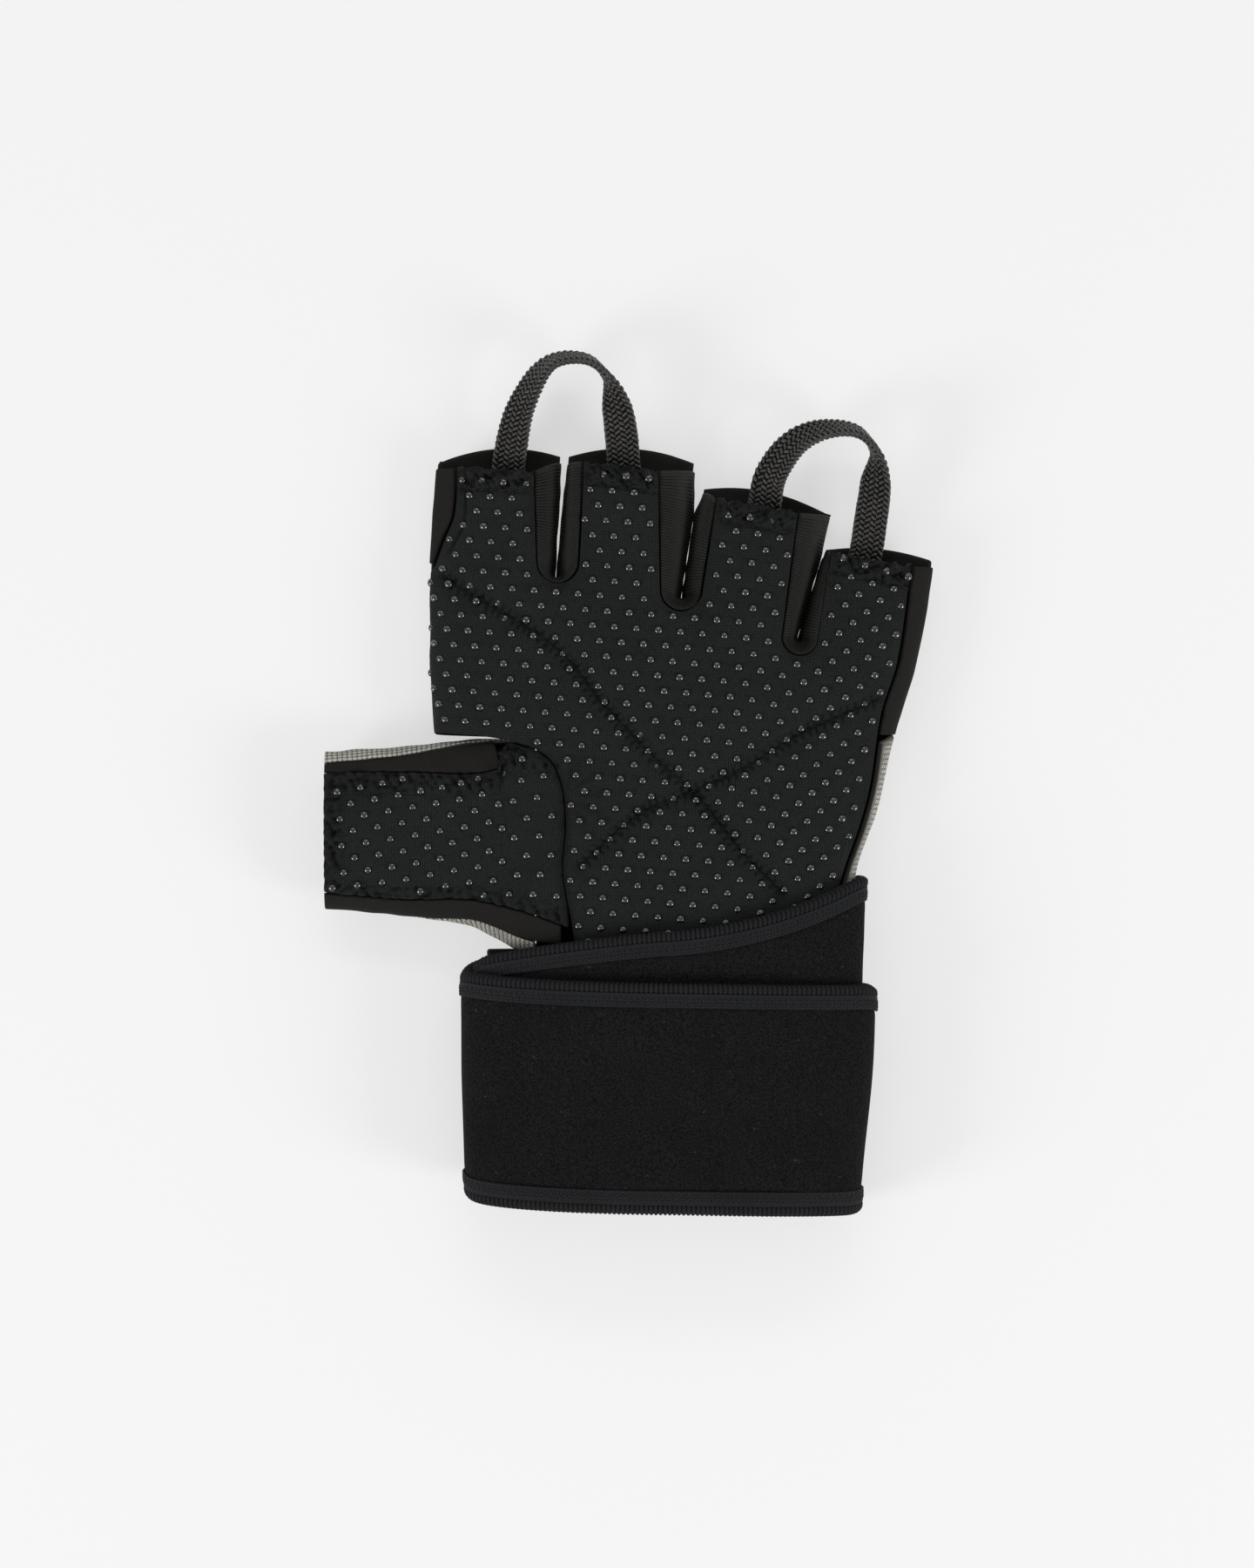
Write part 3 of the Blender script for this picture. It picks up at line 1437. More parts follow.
@dataclass
class PalmPanel:
    """The quilted palm with its finger fronts, in one padded piece of dotted knit."""

    wall: float = 3.0
    spacing: float = 0.72
    edge_round: float = 0.4
    seam_depth: float = 0.65
    seam_width: float = 0.42
    valley_depth: float = 0.85
    valley_width: float = 2.6
    root_shade: float = 2.2
    pucker: float = 0.6
    pucker_pitch: float = 1.9
    hem_band: float = 5.0
    hem_rise: float = 0.35
    hem_depth: float = 0.45
    edge_drop: float = 0.45
    fray: float = 0.3
    dot_row: tuple[float, float] = (5.1, -0.4)
    dot_column: tuple[float, float] = (3.1, 3.2)
    dot_start: tuple[float, float] = (0.6, 92.4)
    dot_bend: tuple[float, float] = (8.0, 46.0)
    dot_slope: float = 0.16
    dot_margin: float = 0.75
    lowest_dot: float = 20.0
    side_fold: tuple = ((-0.447, 0.94), (-0.448, 0.905), (-0.452, 0.885), (-0.475, 0.855))
    thumb_web: tuple[float, float] = (-0.235, 0.52)
    channels: tuple = (
        (
            (-0.49, 0.815), (-0.26, 0.722), (-0.156, 0.643), (-0.042, 0.567),
            (0.027, 0.529), (0.131, 0.447), (0.21, 0.395),
        ),
        ((0.41, 0.65), (0.262, 0.609), (0.131, 0.559), (0.027, 0.529), (-0.085, 0.497), (-0.205, 0.43)),
    )

    def flat(self, line: Points) -> Points:
        """Places of the plan as arc length and height."""
        angle = HAND.palm_angle(line[:, 0], line[:, 1])
        return np.stack([PALM_CHART.arc(angle, line[:, 1]), line[:, 1]], axis=1)

    @cached_property
    def outline(self) -> Points:
        """The panel's edge in order, in arc length and height."""
        step = 0.6
        rise = np.arange(0, HAND.length * LITTLE_CORNER[1], step)
        parts = [np.stack([HAND.edge(PALM_EDGE, rise), rise], axis=1)]
        corner = plan(LITTLE_CORNER)
        for slot in reversed(SLOTS):
            edge = slot_edge(slot)[::-1]
            parts.append(resampled(np.stack([corner, edge[0]]), step)[:-1])
            parts.append(edge[:-1])
            corner = edge[-1]
        strip = HAND.length * np.arange(INDEX_CORNER[1], INDEX_STRIP_EDGE.where[0], -0.003)
        strip_edge = np.stack([HAND.edge(INDEX_STRIP_EDGE, strip), strip], axis=1)
        parts.append(resampled(np.stack([corner, strip_edge[0]]), step)[:-1])
        parts.append(strip_edge)
        side = np.arange(HAND.length * 0.828, HAND.length * 0.605, -step)
        cut = HAND.section(side)
        parts.append(np.stack([cut["middle"] - cut["half"], side], axis=1))
        seam = np.arange(0.603, 0.3, -0.0035)
        seam = np.stack([HAND.width * THUMB_SEAM.at("across", seam), HAND.length * seam], axis=1)
        parts.append(resampled(np.concatenate([parts[-1][-1:], seam]), step)[1:])
        parts.append(resampled(np.stack([seam[-1], [seam[-1][0], 0]]), step)[1:])
        line = self.flat(np.concatenate(parts))
        base = resampled(np.stack([line[-1], line[0]]), step)[1:-1]
        return np.concatenate([line, base])

    @cached_property
    def rim(self) -> Points:
        """The edge as a closed line."""
        return np.concatenate([self.outline, self.outline[:1]])

    def seams(self) -> list[Points]:
        """The two crossing seams, in arc length and height."""
        return [self.flat(smooth_line([plan(knot) for knot in channel])) for channel in self.channels]

    def hems(self) -> list[Points]:
        """The line of stitches below each finger's hem, in arc length and height."""
        corners = [INDEX_CORNER]
        for slot in SLOTS:
            corners += [slot.left, slot.right]
        corners.append(LITTLE_CORNER)
        lines = []
        for first, second in zip(corners[::2], corners[1::2]):
            ends = np.stack([plan(first), plan(second)]) - [0, self.hem_band]
            lines.append(self.flat(resampled(ends + [[0.8, 0], [-0.8, 0]], 0.5)))
        return lines

    def fold(self) -> Points:
        """The pressed line beside the index finger's side strip, in arc length and height."""
        return self.flat(smooth_line([plan(knot) for knot in self.side_fold]))

    def seam_relief(self, line: Points, flat: Points) -> Points:
        """How a sewn line pulls the padding down and puckers it along both sides.

        Args:
            line: the sewn line.
            flat: arc lengths and heights.

        Returns:
            Heights.
        """
        away, along = nearest(line, flat)
        sway = 0.8 * np.sin(along / 3.1) + 0.6 * np.sin(along / 1.27 + 1)
        pucker = np.cos(math.tau * along / self.pucker_pitch + sway) * bell(away - 0.95, 0.6)
        groove = self.seam_depth * bell(away, self.seam_width)
        return self.pucker * pucker - groove - self.valley_depth * bell(away, self.valley_width)

    def over_hem(self, line: Points, flat: Points) -> tuple[Points, Points]:
        """How far places lie above a finger's line of stitches, and how far in from its ends."""
        above = flat[:, 1] - np.interp(flat[:, 0], line[:, 0], line[:, 1])
        return above, np.minimum(flat[:, 0] - line[0, 0], line[-1, 0] - flat[:, 0])

    def hem_relief(self, line: Points, flat: Points) -> Points:
        """How a finger's turned hem stands up and crumples above its line of stitches.

        Args:
            line: the line of stitches.
            flat: arc lengths and heights.

        Returns:
            Heights.
        """
        above, within = self.over_hem(line, flat)
        band = smoothstep(-1.2, 0, within) * smoothstep(-0.2, 0.5, above)
        groove = self.hem_depth * bell(distance_to(line, flat), 0.45)
        return band * (self.hem_rise + self.crumple(flat)) - groove

    def crumple(self, flat: Points) -> Points:
        """Height of the small creases of a turned hem."""
        return 0.45 * ripple(flat, 3.0, 61) + 0.36 * ripple(flat, 1.7, 62)

    def hem_shade(self, flat: Points) -> Points:
        """How dark the creases of the hems are, from 0 to 1."""
        shade = np.zeros(len(flat))
        for line in self.hems():
            above, within = self.over_hem(line, flat)
            dark = smoothstep(-0.2, 0.5, above) * smoothstep(0, 0.4, -self.crumple(flat))
            shade = np.maximum(shade, (within > -1) * dark)
        return shade

    def frayed(self, flat: Points) -> Points:
        """Moves the uneven ends of the finger hems a little up or down.

        Args:
            flat: arc lengths and heights.

        Returns:
            The moved places.
        """
        uneven = self.fray * (ripple(flat, 4.2, 71) + ripple(flat, 1.5, 73))
        shift = np.zeros(len(flat))
        for line in self.hems():
            above, within = self.over_hem(line, flat)
            shift += (within > -1.5) * smoothstep(3.0, 5.0, above) * uneven
        return np.stack([flat[:, 0], flat[:, 1] + shift], axis=1)

    def relief(self, flat: Points) -> Points:
        """How far the padded cloth stands off its plain form.

        Args:
            flat: arc lengths and heights.

        Returns:
            Heights, below 0 in the seams.
        """
        lift = 0.3 * ripple(flat, 34, 5) + 0.14 * ripple(flat, 12, 6) + 0.05 * ripple(flat, 4.5, 7)
        for seam in self.seams():
            lift += self.seam_relief(seam, flat)
        for hem in self.hems():
            lift += self.hem_relief(hem, flat)
        lift -= 0.5 * bell(distance_to(self.fold(), flat), 0.45)
        spoke = flat - self.flat(plan(self.thumb_web)[None])
        reach = np.linalg.norm(spoke, axis=1)
        turn = np.arctan2(spoke[:, 1], spoke[:, 0])
        return lift + 0.35 * np.cos(11 * turn + 0.12 * reach) * bell(reach - 6, 5)

    def cover(self, flat: Points) -> tuple[Points, Points, Points]:
        """Lays flat places on the padded face.

        Args:
            flat: arc lengths and heights.

        Returns:
            Places on the face, its outward directions, and how much its edge thins the cloth.
        """
        near = distance_to(self.rim, flat)
        facing = PALM_CHART.facing(flat)
        thin = self.edge_round * (1 - rolled(near, self.edge_round))
        fade = 1 - bell(near, 0.9)
        drop = self.edge_drop * bell(near, 1.4)
        rise = self.relief(flat) * fade - drop - thin
        return PALM_CHART.lay(self.frayed(flat)) + facing * rise[:, None], facing, thin

    def panel(self) -> Object:
        """Makes the padded panel."""
        guides = (*self.seams(), *self.hems(), self.fold())
        bands = tuple(line + [0, self.hem_band * 0.6] for line in self.hems())
        flat, faces, _ = panel_layout(self.outline, self.spacing, self.edge_round, guides + bands)
        outer, facing, thin = self.cover(flat)
        inner = PALM_CHART.lay(self.frayed(flat)) - facing * (self.wall - thin)[:, None]
        cloth = shell(outer, inner, faces, flat)
        sewn = np.min([distance_to(guide, flat) for guide in guides], axis=0)
        sewn += 0.12 * (1 + ripple(flat, 2.6, 72))
        at = flat[:, 1] / HAND.length
        seam = self.flat(np.stack([thumb_seam(flat[:, 1]), flat[:, 1]], axis=1))
        root = np.abs(flat[:, 0] - seam[:, 0]) / self.root_shade
        sewn = np.where((at > 0.3) & (at < 0.6), np.minimum(sewn, root), sewn)
        cloth.values["shade"] = np.tile(np.maximum(bell(sewn, self.seam_width), self.hem_shade(flat)), 2)
        return dressed(piece_of("palm_quilted_knit", cloth), PALM_KNIT, ("palm_panel",))

    def dots(self) -> None:
        """Spreads the grip dots over the palm in staggered rows that lean a little."""
        flat = lattice(60, self.dot_row, self.dot_column) + self.dot_start
        bend_from, bend_to = self.dot_bend
        bend = smoothstep(bend_from, bend_to, flat[:, 0])
        flat[:, 1] -= self.dot_slope * bend * (flat[:, 0] - bend_from)
        flat = flat[flat[:, 1] > self.lowest_dot]
        flat = flat[inside(self.outline, flat)]
        flat = flat[distance_to(self.rim, flat) > self.dot_margin]
        place, facing, _ = self.cover(flat)
        grip_dots("palm_grip_dots", place, facing, 3)

    def stitches(self, thread: Spots) -> None:
        """Sews the crossing seams and the finger hems."""
        for line in self.seams() + self.hems():
            place, facing, _ = self.cover(line)
            thread.sewn(place, facing, 2.3, sink=0.05)


@dataclass
class BackPanel:
    """The mesh back of the hand, with the fingers' backs and the side that comes round by the palm."""

    wall: float = 1.2
    spacing: float = 1.05
    slit: float = 0.8
    strip_start: float = 0.604
    hems: tuple = (
        (0.974, 1.008, 0.981), (0.981, 1.009, 0.972), (0.937, 0.95, 0.902), (0.855, 0.866, 0.838),
    )
    thumb_seam: tuple[float, float, float] = (-0.3, 0.316, 0.6)
    side_tuck: float = 0.35

    def flat(self, line: Points) -> Points:
        """Places of the plan, on the back, as arc length and height."""
        angle = HAND.back_angle(line[:, 0], line[:, 1])
        return np.stack([BACK_CHART.arc(angle, line[:, 1]), line[:, 1]], axis=1)

    def side(self, heights: Points, left: bool) -> Points:
        """The edge just below the side seam, as arc length and height."""
        angle = HAND.below_seam(heights, GAP)
        angle = math.tau - angle if left else angle
        return np.stack([BACK_CHART.arc(angle, heights), heights], axis=1)

    def outline(self) -> Points:
        """The panel's edge in order, in arc length and height."""
        step = 0.8
        start = HAND.length * self.strip_start - GAP
        low = np.arange(0, start - 2 * GAP, step)
        flank = HAND.palm_angle(HAND.edge(PALM_EDGE, low) + 2 * GAP, low)
        parts = [np.stack([BACK_CHART.arc(flank, low), low], axis=1)]
        corners = [FINGER_SIDES[0]]
        for slot in SLOTS:
            corners += [slot.crease_left[0], slot.crease_right[0]]
        corners.append(FINGER_SIDES[1])
        parts.append(self.side(np.arange(start, HAND.length * self.hems[-1][2], step), False))
        for finger in range(3, -1, -1):
            outer, peak, inner = (HAND.length * share for share in self.hems[finger])
            left = HAND.width * corners[2 * finger] + self.slit / 2
            right = HAND.width * corners[2 * finger + 1] - self.slit / 2
            t = np.linspace(0, 1, 40)[:, None]
            start_at, top, end_at = np.array([[right, inner], [(left + right) / 2, peak], [left, outer]])
            hem = start_at * (1 - t) ** 2 + 2 * top * t * (1 - t) + end_at * t**2
            parts.append(self.flat(hem))
            if finger > 0:
                web = plan(SLOTS[finger - 1].crease_web)
                nook = np.stack([hem[-1], web + [self.slit / 2, 0], web - [self.slit / 2, 0]])
                following = np.array([HAND.width * corners[2 * finger - 1] - self.slit / 2, 0])
                following[1] = HAND.length * self.hems[finger - 1][2]
                way = resampled(nook[:2], step)[1:]
                back = resampled(np.stack([nook[2], following]), step)[:-1]
                parts.append(self.flat(np.concatenate([way, back])))
        across, seam_low, seam_high = self.thumb_seam
        down = np.arange(HAND.length * self.hems[0][0], HAND.length * seam_high, -step)
        parts.append(self.side(down, True))
        notch = np.array([[across, seam_high], [across, seam_low]]) * [HAND.width, HAND.length]
        notch_flat = self.flat(resampled(notch, step))
        parts.append(resampled(np.stack([parts[-1][-1], notch_flat[0]]), step)[1:-1])
        parts.append(notch_flat)
        wrist = self.side(np.arange(HAND.length * seam_low, 0, -step), True)
        parts.append(resampled(np.stack([notch_flat[-1], wrist[0]]), step)[1:-1])
        parts.append(wrist)
        parts.append(resampled(np.stack([wrist[-1], parts[0][0]]), step)[1:-1])
        return np.concatenate(parts)

    def panel(self) -> Object:
        """Makes the back."""
        flat, faces, near = panel_layout(self.outline(), self.spacing, self.wall)
        facing = BACK_CHART.facing(flat)
        base = BACK_CHART.lay(flat)
        thin = self.wall / 2 * (1 - rolled(near, self.wall / 2))
        sway = 0.22 * ripple(flat, 26, 15) * (1 - bell(near, 3))
        sway -= self.side_tuck * (flat[:, 1] > HAND.length * self.thumb_seam[2]) * bell(near, 4)
        lifted = np.where(base[:, 2] < 0.4, np.maximum(sway, 0) * -1, sway)
        outer = base + facing * (lifted - thin)[:, None]
        inner = base + facing * (np.minimum(lifted, 0.1) - self.wall + thin)[:, None]
        cloth = shell(outer, inner, faces, flat)
        bound = np.tile(1 - smoothstep(0.7, 1.3, near), 2)
        cloth.values["lining"] = np.maximum(cloth.values["lining"], bound)
        return dressed(piece_of("back_waffle_mesh", cloth), BACK_MESH, ("back_panel",))


@dataclass
class SideStrips:
    """The plain black strips along the index and little fingers, and the cuff below the thumb."""

    wall: float = 1.2
    step: float = 0.7
    cuff_end: float = -0.215

    def strip(self, low: float, high: float, first: EdgeAngle, second: EdgeAngle) -> Cloth:
        """A strip of the palm's side between two edges.

        Args:
            low, high: its reach up the hand, in shares of the hand's length.
            first, second: functions of the height that give the two edges' angles.

        Returns:
            The closed mesh.
        """
        length = HAND.length * (high - low)
        heights = HAND.length * low + length * edge_steps(length, self.step, self.wall / 2)
        start, end = first(heights), second(heights)

        def across(share: Points) -> Points:
            """Places at shares of the way between the two edges' angles."""
            return HAND.point(blend(start[:, None], end[:, None], share), heights[:, None])

        place = across(evened(across, edge_steps(8, self.step / 2, self.wall / 2)))
        cut = HAND.section(heights)
        heart = np.stack([cut["middle"], heights, cut["seam"]], axis=1)[:, None]
        return grid_sheet(place, self.wall, place - heart, 0.05 * ripple(place, 7, 21))

    def build(self) -> None:
        """Makes the three pieces."""

        def seam(turn: float) -> EdgeAngle:
            """A side seam, at one angle all along."""
            return lambda heights: np.full(len(heights), turn)

        def beside(table: Table, gap: float) -> EdgeAngle:
            """The seam with a finger's front, a gap away from its edge."""
            return lambda heights: HAND.palm_angle(HAND.edge(table, heights) + gap, heights)

        def cuff_edge(heights: Points) -> Points:
            """The seam with the heel of the palm."""
            return HAND.palm_angle(np.full(len(heights), HAND.width * self.cuff_end - GAP), heights)

        left, right = seam(-math.pi / 2), seam(math.pi / 2)
        index_edge, little_edge = beside(INDEX_STRIP_EDGE, -2 * GAP), beside(PALM_EDGE, 2 * GAP)
        rows = (
            ("index_side_cloth", "index_side_strip", 0.835, 0.963, left, index_edge),
            ("little_side_cloth", "little_side_strip", 0.604, 0.83, little_edge, right),
            ("cuff_cloth", "cuff_panel", 0, 0.309, left, cuff_edge),
        )
        for name, node, low, high, first, second in rows:
            dressed(piece_of(name, self.strip(low, high, first, second)), BLACK_CLOTH, (node,))


@dataclass
class Gussets:
    """The ribbed elastic between the fingers."""

    wall: float = 1.0
    slit: float = 0.8
    closed: float = 0.02
    open_reach: float = 0.22
    sink: float = 0.3
    rib_pitch: float = 0.64
    rib_depth: float = 0.42
    steps: int = 620
    columns: int = 26

    def edge(self, left: Points, web: Points, radius: float, right: Points) -> Points:
        """Walks from a left hem corner round a web to the right hem corner.

        Args:
            left, right: the hem corners in the plan.
            web: the centre of the round.
            radius: its radius.

        Returns:
            As many points as the gusset has steps, a share for each arm and one for the round.
        """
        arm = int(self.steps * 0.36)
        turn = np.linspace(math.pi, math.tau, self.steps - 2 * arm)
        bend = web + radius * np.stack([np.cos(turn), np.sin(turn)], axis=1)
        down = np.linspace(left, bend[0], arm, endpoint=False)
        up = np.linspace(right, bend[-1], arm, endpoint=False)[::-1]
        return np.concatenate([down, bend, up])

    def drawn_together(self, foot: Points, gape: float) -> Points:
        """Brings the two sides of a slit together below its open end.

        Args:
            foot: the slit's edge, from one hem round the web to the other hem.
            gape: the share of the slit's width that stays open all the way.

        Returns:
            The moved edge.
        """
        middle = (foot + foot[::-1]) / 2
        half = np.linalg.norm(foot - middle, axis=1, keepdims=True)
        deep = 1 - np.abs(np.linspace(-1, 1, len(foot)))[:, None]
        kept = blend(1.0, gape, smoothstep(0, self.open_reach, deep))
        kept *= 1 - smoothstep(0.5, 0.62, deep)
        return middle + (foot - middle) * np.maximum(kept, self.closed / np.maximum(half, self.closed))

    def gusset(self, slot: Slot) -> Cloth:
        """One gusset, from the palm's slot down to the back's slit."""
        half = self.slit / 2
        top_web = plan(slot.web) + [0, HAND.width * slot.radius]
        radius = HAND.width * slot.radius - GAP
        top = self.edge(plan(slot.left) + [GAP, 0], top_web, radius, plan(slot.right) - [GAP, 0])
        foot = self.edge(
            plan(slot.crease_left) - [half, 0],
            plan(slot.crease_web) + [0, half],
            half,
            plan(slot.crease_right) + [half, 0],
        )
        foot = self.drawn_together(foot, slot.gape)
        outward = unit(top - foot)
        turn = np.linspace(0, math.pi / 2, self.columns)
        high = HAND.palm_height(top[:, 0], top[:, 1]) - self.sink
        behind = foot + outward * self.wall
        under = [HAND.back_height(spot[:, 0], spot[:, 1], 1.2) for spot in (foot, behind)]
        low = np.maximum(*under) + GAP
        out = blend(top[:, None], foot[:, None], np.sin(turn)[None, :, None])
        rise = blend(low[:, None], high[:, None], np.cos(turn)[None])
        place = np.concatenate([out, rise[..., None]], axis=2)
        middle = np.stack([foot[:, 0], foot[:, 1], high + 30], axis=1)[:, None]
        cloth = grid_sheet(place, self.wall, middle - place, 0.06 * ripple(place, 6, 31))
        run = run_along(top)
        across = np.linspace(0, 1, self.columns)
        mask = 1 - 0.7 * smoothstep(0.2, 0.5, across) + 0.6 * smoothstep(0.5, 0.7, across)
        mask *= 1 - smoothstep(0.72, 0.9, across)
        ends = smoothstep(0, 1.5, run) * smoothstep(0, 1.5, run[-1] - run)
        raised = (ends[:, None] * mask[None]).ravel()
        ribbed = np.concatenate([raised, np.zeros(len(raised))])
        cloth.values["run"] = np.tile(np.repeat(run, self.columns), 2)
        cloth.values["ribbed"] = ribbed
        valley = 1 - np.abs(np.sin(math.pi * cloth.values["run"] / self.rib_pitch))
        cloth.values["shade"] = 0.9 * ribbed * valley
        cloth.weave = np.stack([cloth.values["run"], cloth.weave[:, 0]], axis=1)
        return cloth

    def build(self) -> None:
        """Makes the three gussets."""
        for slot in SLOTS:
            name = f"{slot.name}_gusset"
            inputs = {"Pitch": self.rib_pitch, "Depth": self.rib_depth * MM, "Material": ELASTIC.material()}
            piece = worked(piece_of(f"{name}_elastic", self.gusset(slot)), rib_tree(), inputs)
            dressed(piece, ELASTIC, (name,))


@dataclass
class ThumbPanels:
    """The thumb's tube of four pieces: dotted front, mesh back, and two plain strips."""

    palm_wall: float = 3.0
    thin_wall: float = 1.2
    step: float = 0.8
    seam_root: float = -0.3
    upper_start: float = 0.28
    end_slant: float = 1.5
    lower_start: float = 0.03
    root_drop: float = 0.5
    front_width: float = 28.0
    front_length: float = 51.0
    sewn_shares: tuple[float, float] = (0.1, 0.84)
    sewn_across: float = 27.5
    crease_at: tuple[float, float] = (-57.8, 95.0)
    crease_lean: float = 0.35
    dot_row: tuple[float, float] = (5.2, 1.0)
    dot_column: tuple[float, float] = (2.4, 3.6)

    def angles(self, x: Points, low: str, high: str, share: Points, turn: float = 0.0) -> Points:
        """Angles between two seams.

        Args:
            x: places along the thumb.
            low, high: the seams' columns.
            share: the share of the way between them.
            turn: what is added to the second seam's angle.

        Returns:
            Angles.
        """
        first = THUMB.seam(low, x, GAP / 2)
        second = THUMB.seam(high, x, -GAP / 2) + turn
        return blend(first, second, share)

    def across(self, x: Points, share: Points) -> Points:
        """Places on the front of the thumb, by evenly spread shares between its two seams."""
        low = THUMB.point(THUMB.seam("palm_low", x, GAP / 2), x)[..., 1]
        high = THUMB.point(THUMB.seam("palm_high", x, -GAP / 2), x)[..., 1]
        cut = THUMB.section(x)
        level = np.clip((blend(low, high, share) - cut["middle"]) / cut["half"], -1, 1)
        return THUMB.point(np.arcsin(signed_power(level, cut["square"] / 2)), x)

    def root_of(self, share: Points) -> Points:
        """Where lines along the dotted front meet the seam round the thumb's root.

        Args:
            share: each line's share of the way from the lower to the upper seam.

        Returns:
            The places along the thumb.
        """
        low = np.full(len(share), HAND.width * THUMB.tip)
        high = np.full(len(share), HAND.width * THUMB.root)
        for _ in range(30):
            middle = (low + high) / 2
            y = self.across(middle, share)[:, 1]
            beyond = middle > thumb_seam(y) - GAP
            high = np.where(beyond, middle, high)
            low = np.where(beyond, low, middle)
        return low

    def front_place(self, share: Points, reach: Points) -> Points:
        """Places on the dotted front, by the share across it and the share from opening to root."""
        root = self.root_of(share.ravel()).reshape(share.shape)
        return self.across(blend(HAND.width * THUMB.tip, root, reach), share)

    def patch(self, start: float, low: str, high: str, columns: int) -> Cloth:
        """A strip along the thumb between two seams.

        Args:
            start: where it begins, as a share from root to opening.
            low, high: the seams' columns.
            columns: how many columns it has between its edges.

        Returns:
            The closed mesh.
        """
        wall, turn = self.thin_wall, math.tau if high == "back_low" else 0.0
        from_x, to_x = THUMB.at(start), HAND.width * THUMB.tip
        reach = edge_steps(abs(to_x - from_x), self.step, wall / 2)[:, None]
        slant = self.end_slant if low == "palm_high" else 0.0

        def across(share: Points) -> Points:
            """Places at shares of the way between the two seams' angles."""
            x = blend(from_x - slant * share, to_x, reach)
            return THUMB.point(self.angles(x, low, high, share, turn), x)

        place = across(evened(across, edge_steps(columns * self.step, self.step, wall / 2)))
        cut = THUMB.section(place[..., 0])
        heart = np.stack([place[..., 0], cut["middle"], cut["height"]], axis=2)
        relief = 0.14 * ripple(place, 9, 41)
        if low == "palm_high":
            x, y = self.crease_at
            cross = place[..., 0] - x + self.crease_lean * (place[..., 1] - y)
            relief -= 0.3 * bell(cross, 0.35) - 0.15 * bell(cross - 0.9, 0.6)
        return grid_sheet(place, wall, place - heart, np.where(place[..., 2] > 1, relief, 0))

    def front(self) -> Cloth:
        """The dotted front, with its hems' double seams pressed in."""
        share = edge_steps(self.front_width, 0.5, 0.8)
        reach = edge_steps(self.front_length, 0.5, 0.8)
        grid_share, grid_reach = np.meshgrid(share, reach, indexing="ij")
        place = self.front_place(grid_share, grid_reach)
        relief = self.front_relief(grid_share, place)
        cloth = grid_sheet(place, self.palm_wall, np.array([0, 0, 1.0]), relief)
        creased = self.hem_band(grid_share, place) * smoothstep(0, 0.4, -self.crumple(place))
        root = thumb_seam(place[..., 1]) - place[..., 0]
        creased = np.maximum(creased, bell(root, 1.3))
        cloth.values["shade"] = np.tile(creased.ravel(), 2)
        return cloth

    def front_relief(self, share: Points, place: Points) -> Points:
        """How far the padded front stands off its plain form."""
        lift = 0.2 * ripple(place, 17, 44) + 0.06 * ripple(place, 5, 45)
        for line in self.sewn_shares:
            lift = lift - 0.4 * bell((share - line) * self.sewn_across, 0.5)
        band = self.hem_band(share, place)
        root = thumb_seam(place[..., 1]) - place[..., 0]
        pulled = bell(root, 2.2) * (self.root_drop + 0.25 * ripple(place, 3.4, 48))
        return lift + band * (0.15 + self.crumple(place)) - pulled

    def crumple(self, place: Points) -> Points:
        """Height of the small creases of the turned hems."""
        return 0.4 * ripple(place, 2.8, 46) + 0.32 * ripple(place, 1.7, 47)

    def hem_band(self, share: Points, place: Points) -> Points:
        """Where the front is turned in and sewn, from 0 to 1."""
        low, high = self.sewn_shares
        band = smoothstep(high, high + 0.02, share) + smoothstep(1 - low, 1.02 - low, 1 - share)
        return np.maximum(band, 1 - smoothstep(3.6, 4.4, place[..., 0] - HAND.width * THUMB.tip))

    def spread(self, share: Points, reach: Points) -> tuple[Points, Points]:
        """Places and directions on the padded front."""
        delta = 0.01
        place = self.front_place(share, reach)
        beyond = self.front_place(np.clip(share + delta, 0, 1), reach)
        across = beyond - self.front_place(share - delta, reach)
        along = self.front_place(share, reach + delta) - self.front_place(share, reach - delta)
        facing = unit(np.cross(along, across))
        facing *= np.sign(facing[..., 2:])
        return place + facing * self.front_relief(share, place)[..., None], facing

    def dots(self) -> None:
        """Spreads the grip dots over the front."""
        flat = lattice(30, self.dot_row, self.dot_column)
        reach = 1 + flat[:, 0] / self.front_length
        share = 0.5 + flat[:, 1] / self.front_width
        margin = 0.03
        keep = (np.abs(reach - 0.5) < 0.5 - margin) & (np.abs(share - 0.5) < 0.5 - margin)
        place, facing = self.spread(share[keep], reach[keep])
        grip_dots("thumb_grip_dots", place, facing, 4)

    def stitches(self, thread: Spots) -> None:
        """Sews the two lines along the front."""
        reach = np.linspace(0.03, 0.95, 90)
        for share in self.sewn_shares:
            place, facing = self.spread(np.full(len(reach), share), reach)
            thread.sewn(place, facing, 2.0, sink=0.02)

    def build(self) -> None:
        """Makes the four pieces and the dots."""
        dressed(piece_of("thumb_quilted_knit", self.front()), PALM_KNIT, ("thumb_palm_panel",))
        back_start = THUMB.along(HAND.width * self.seam_root - GAP)
        rows = (
            ("waffle_mesh", "back_panel", back_start, "back_high", "back_low", 80, BACK_MESH),
            ("upper_cloth", "upper_strip", self.upper_start, "palm_high", "back_high", 12, BLACK_CLOTH),
            ("lower_cloth", "lower_strip", self.lower_start, "back_low", "palm_low", 12, BLACK_CLOTH),
        )
        for name, node, start, low, high, columns, finish in rows:
            cloth = self.patch(start, low, high, columns)
            dressed(piece_of(f"thumb_{name}", cloth), finish, (f"thumb_{node}",))
        self.dots()


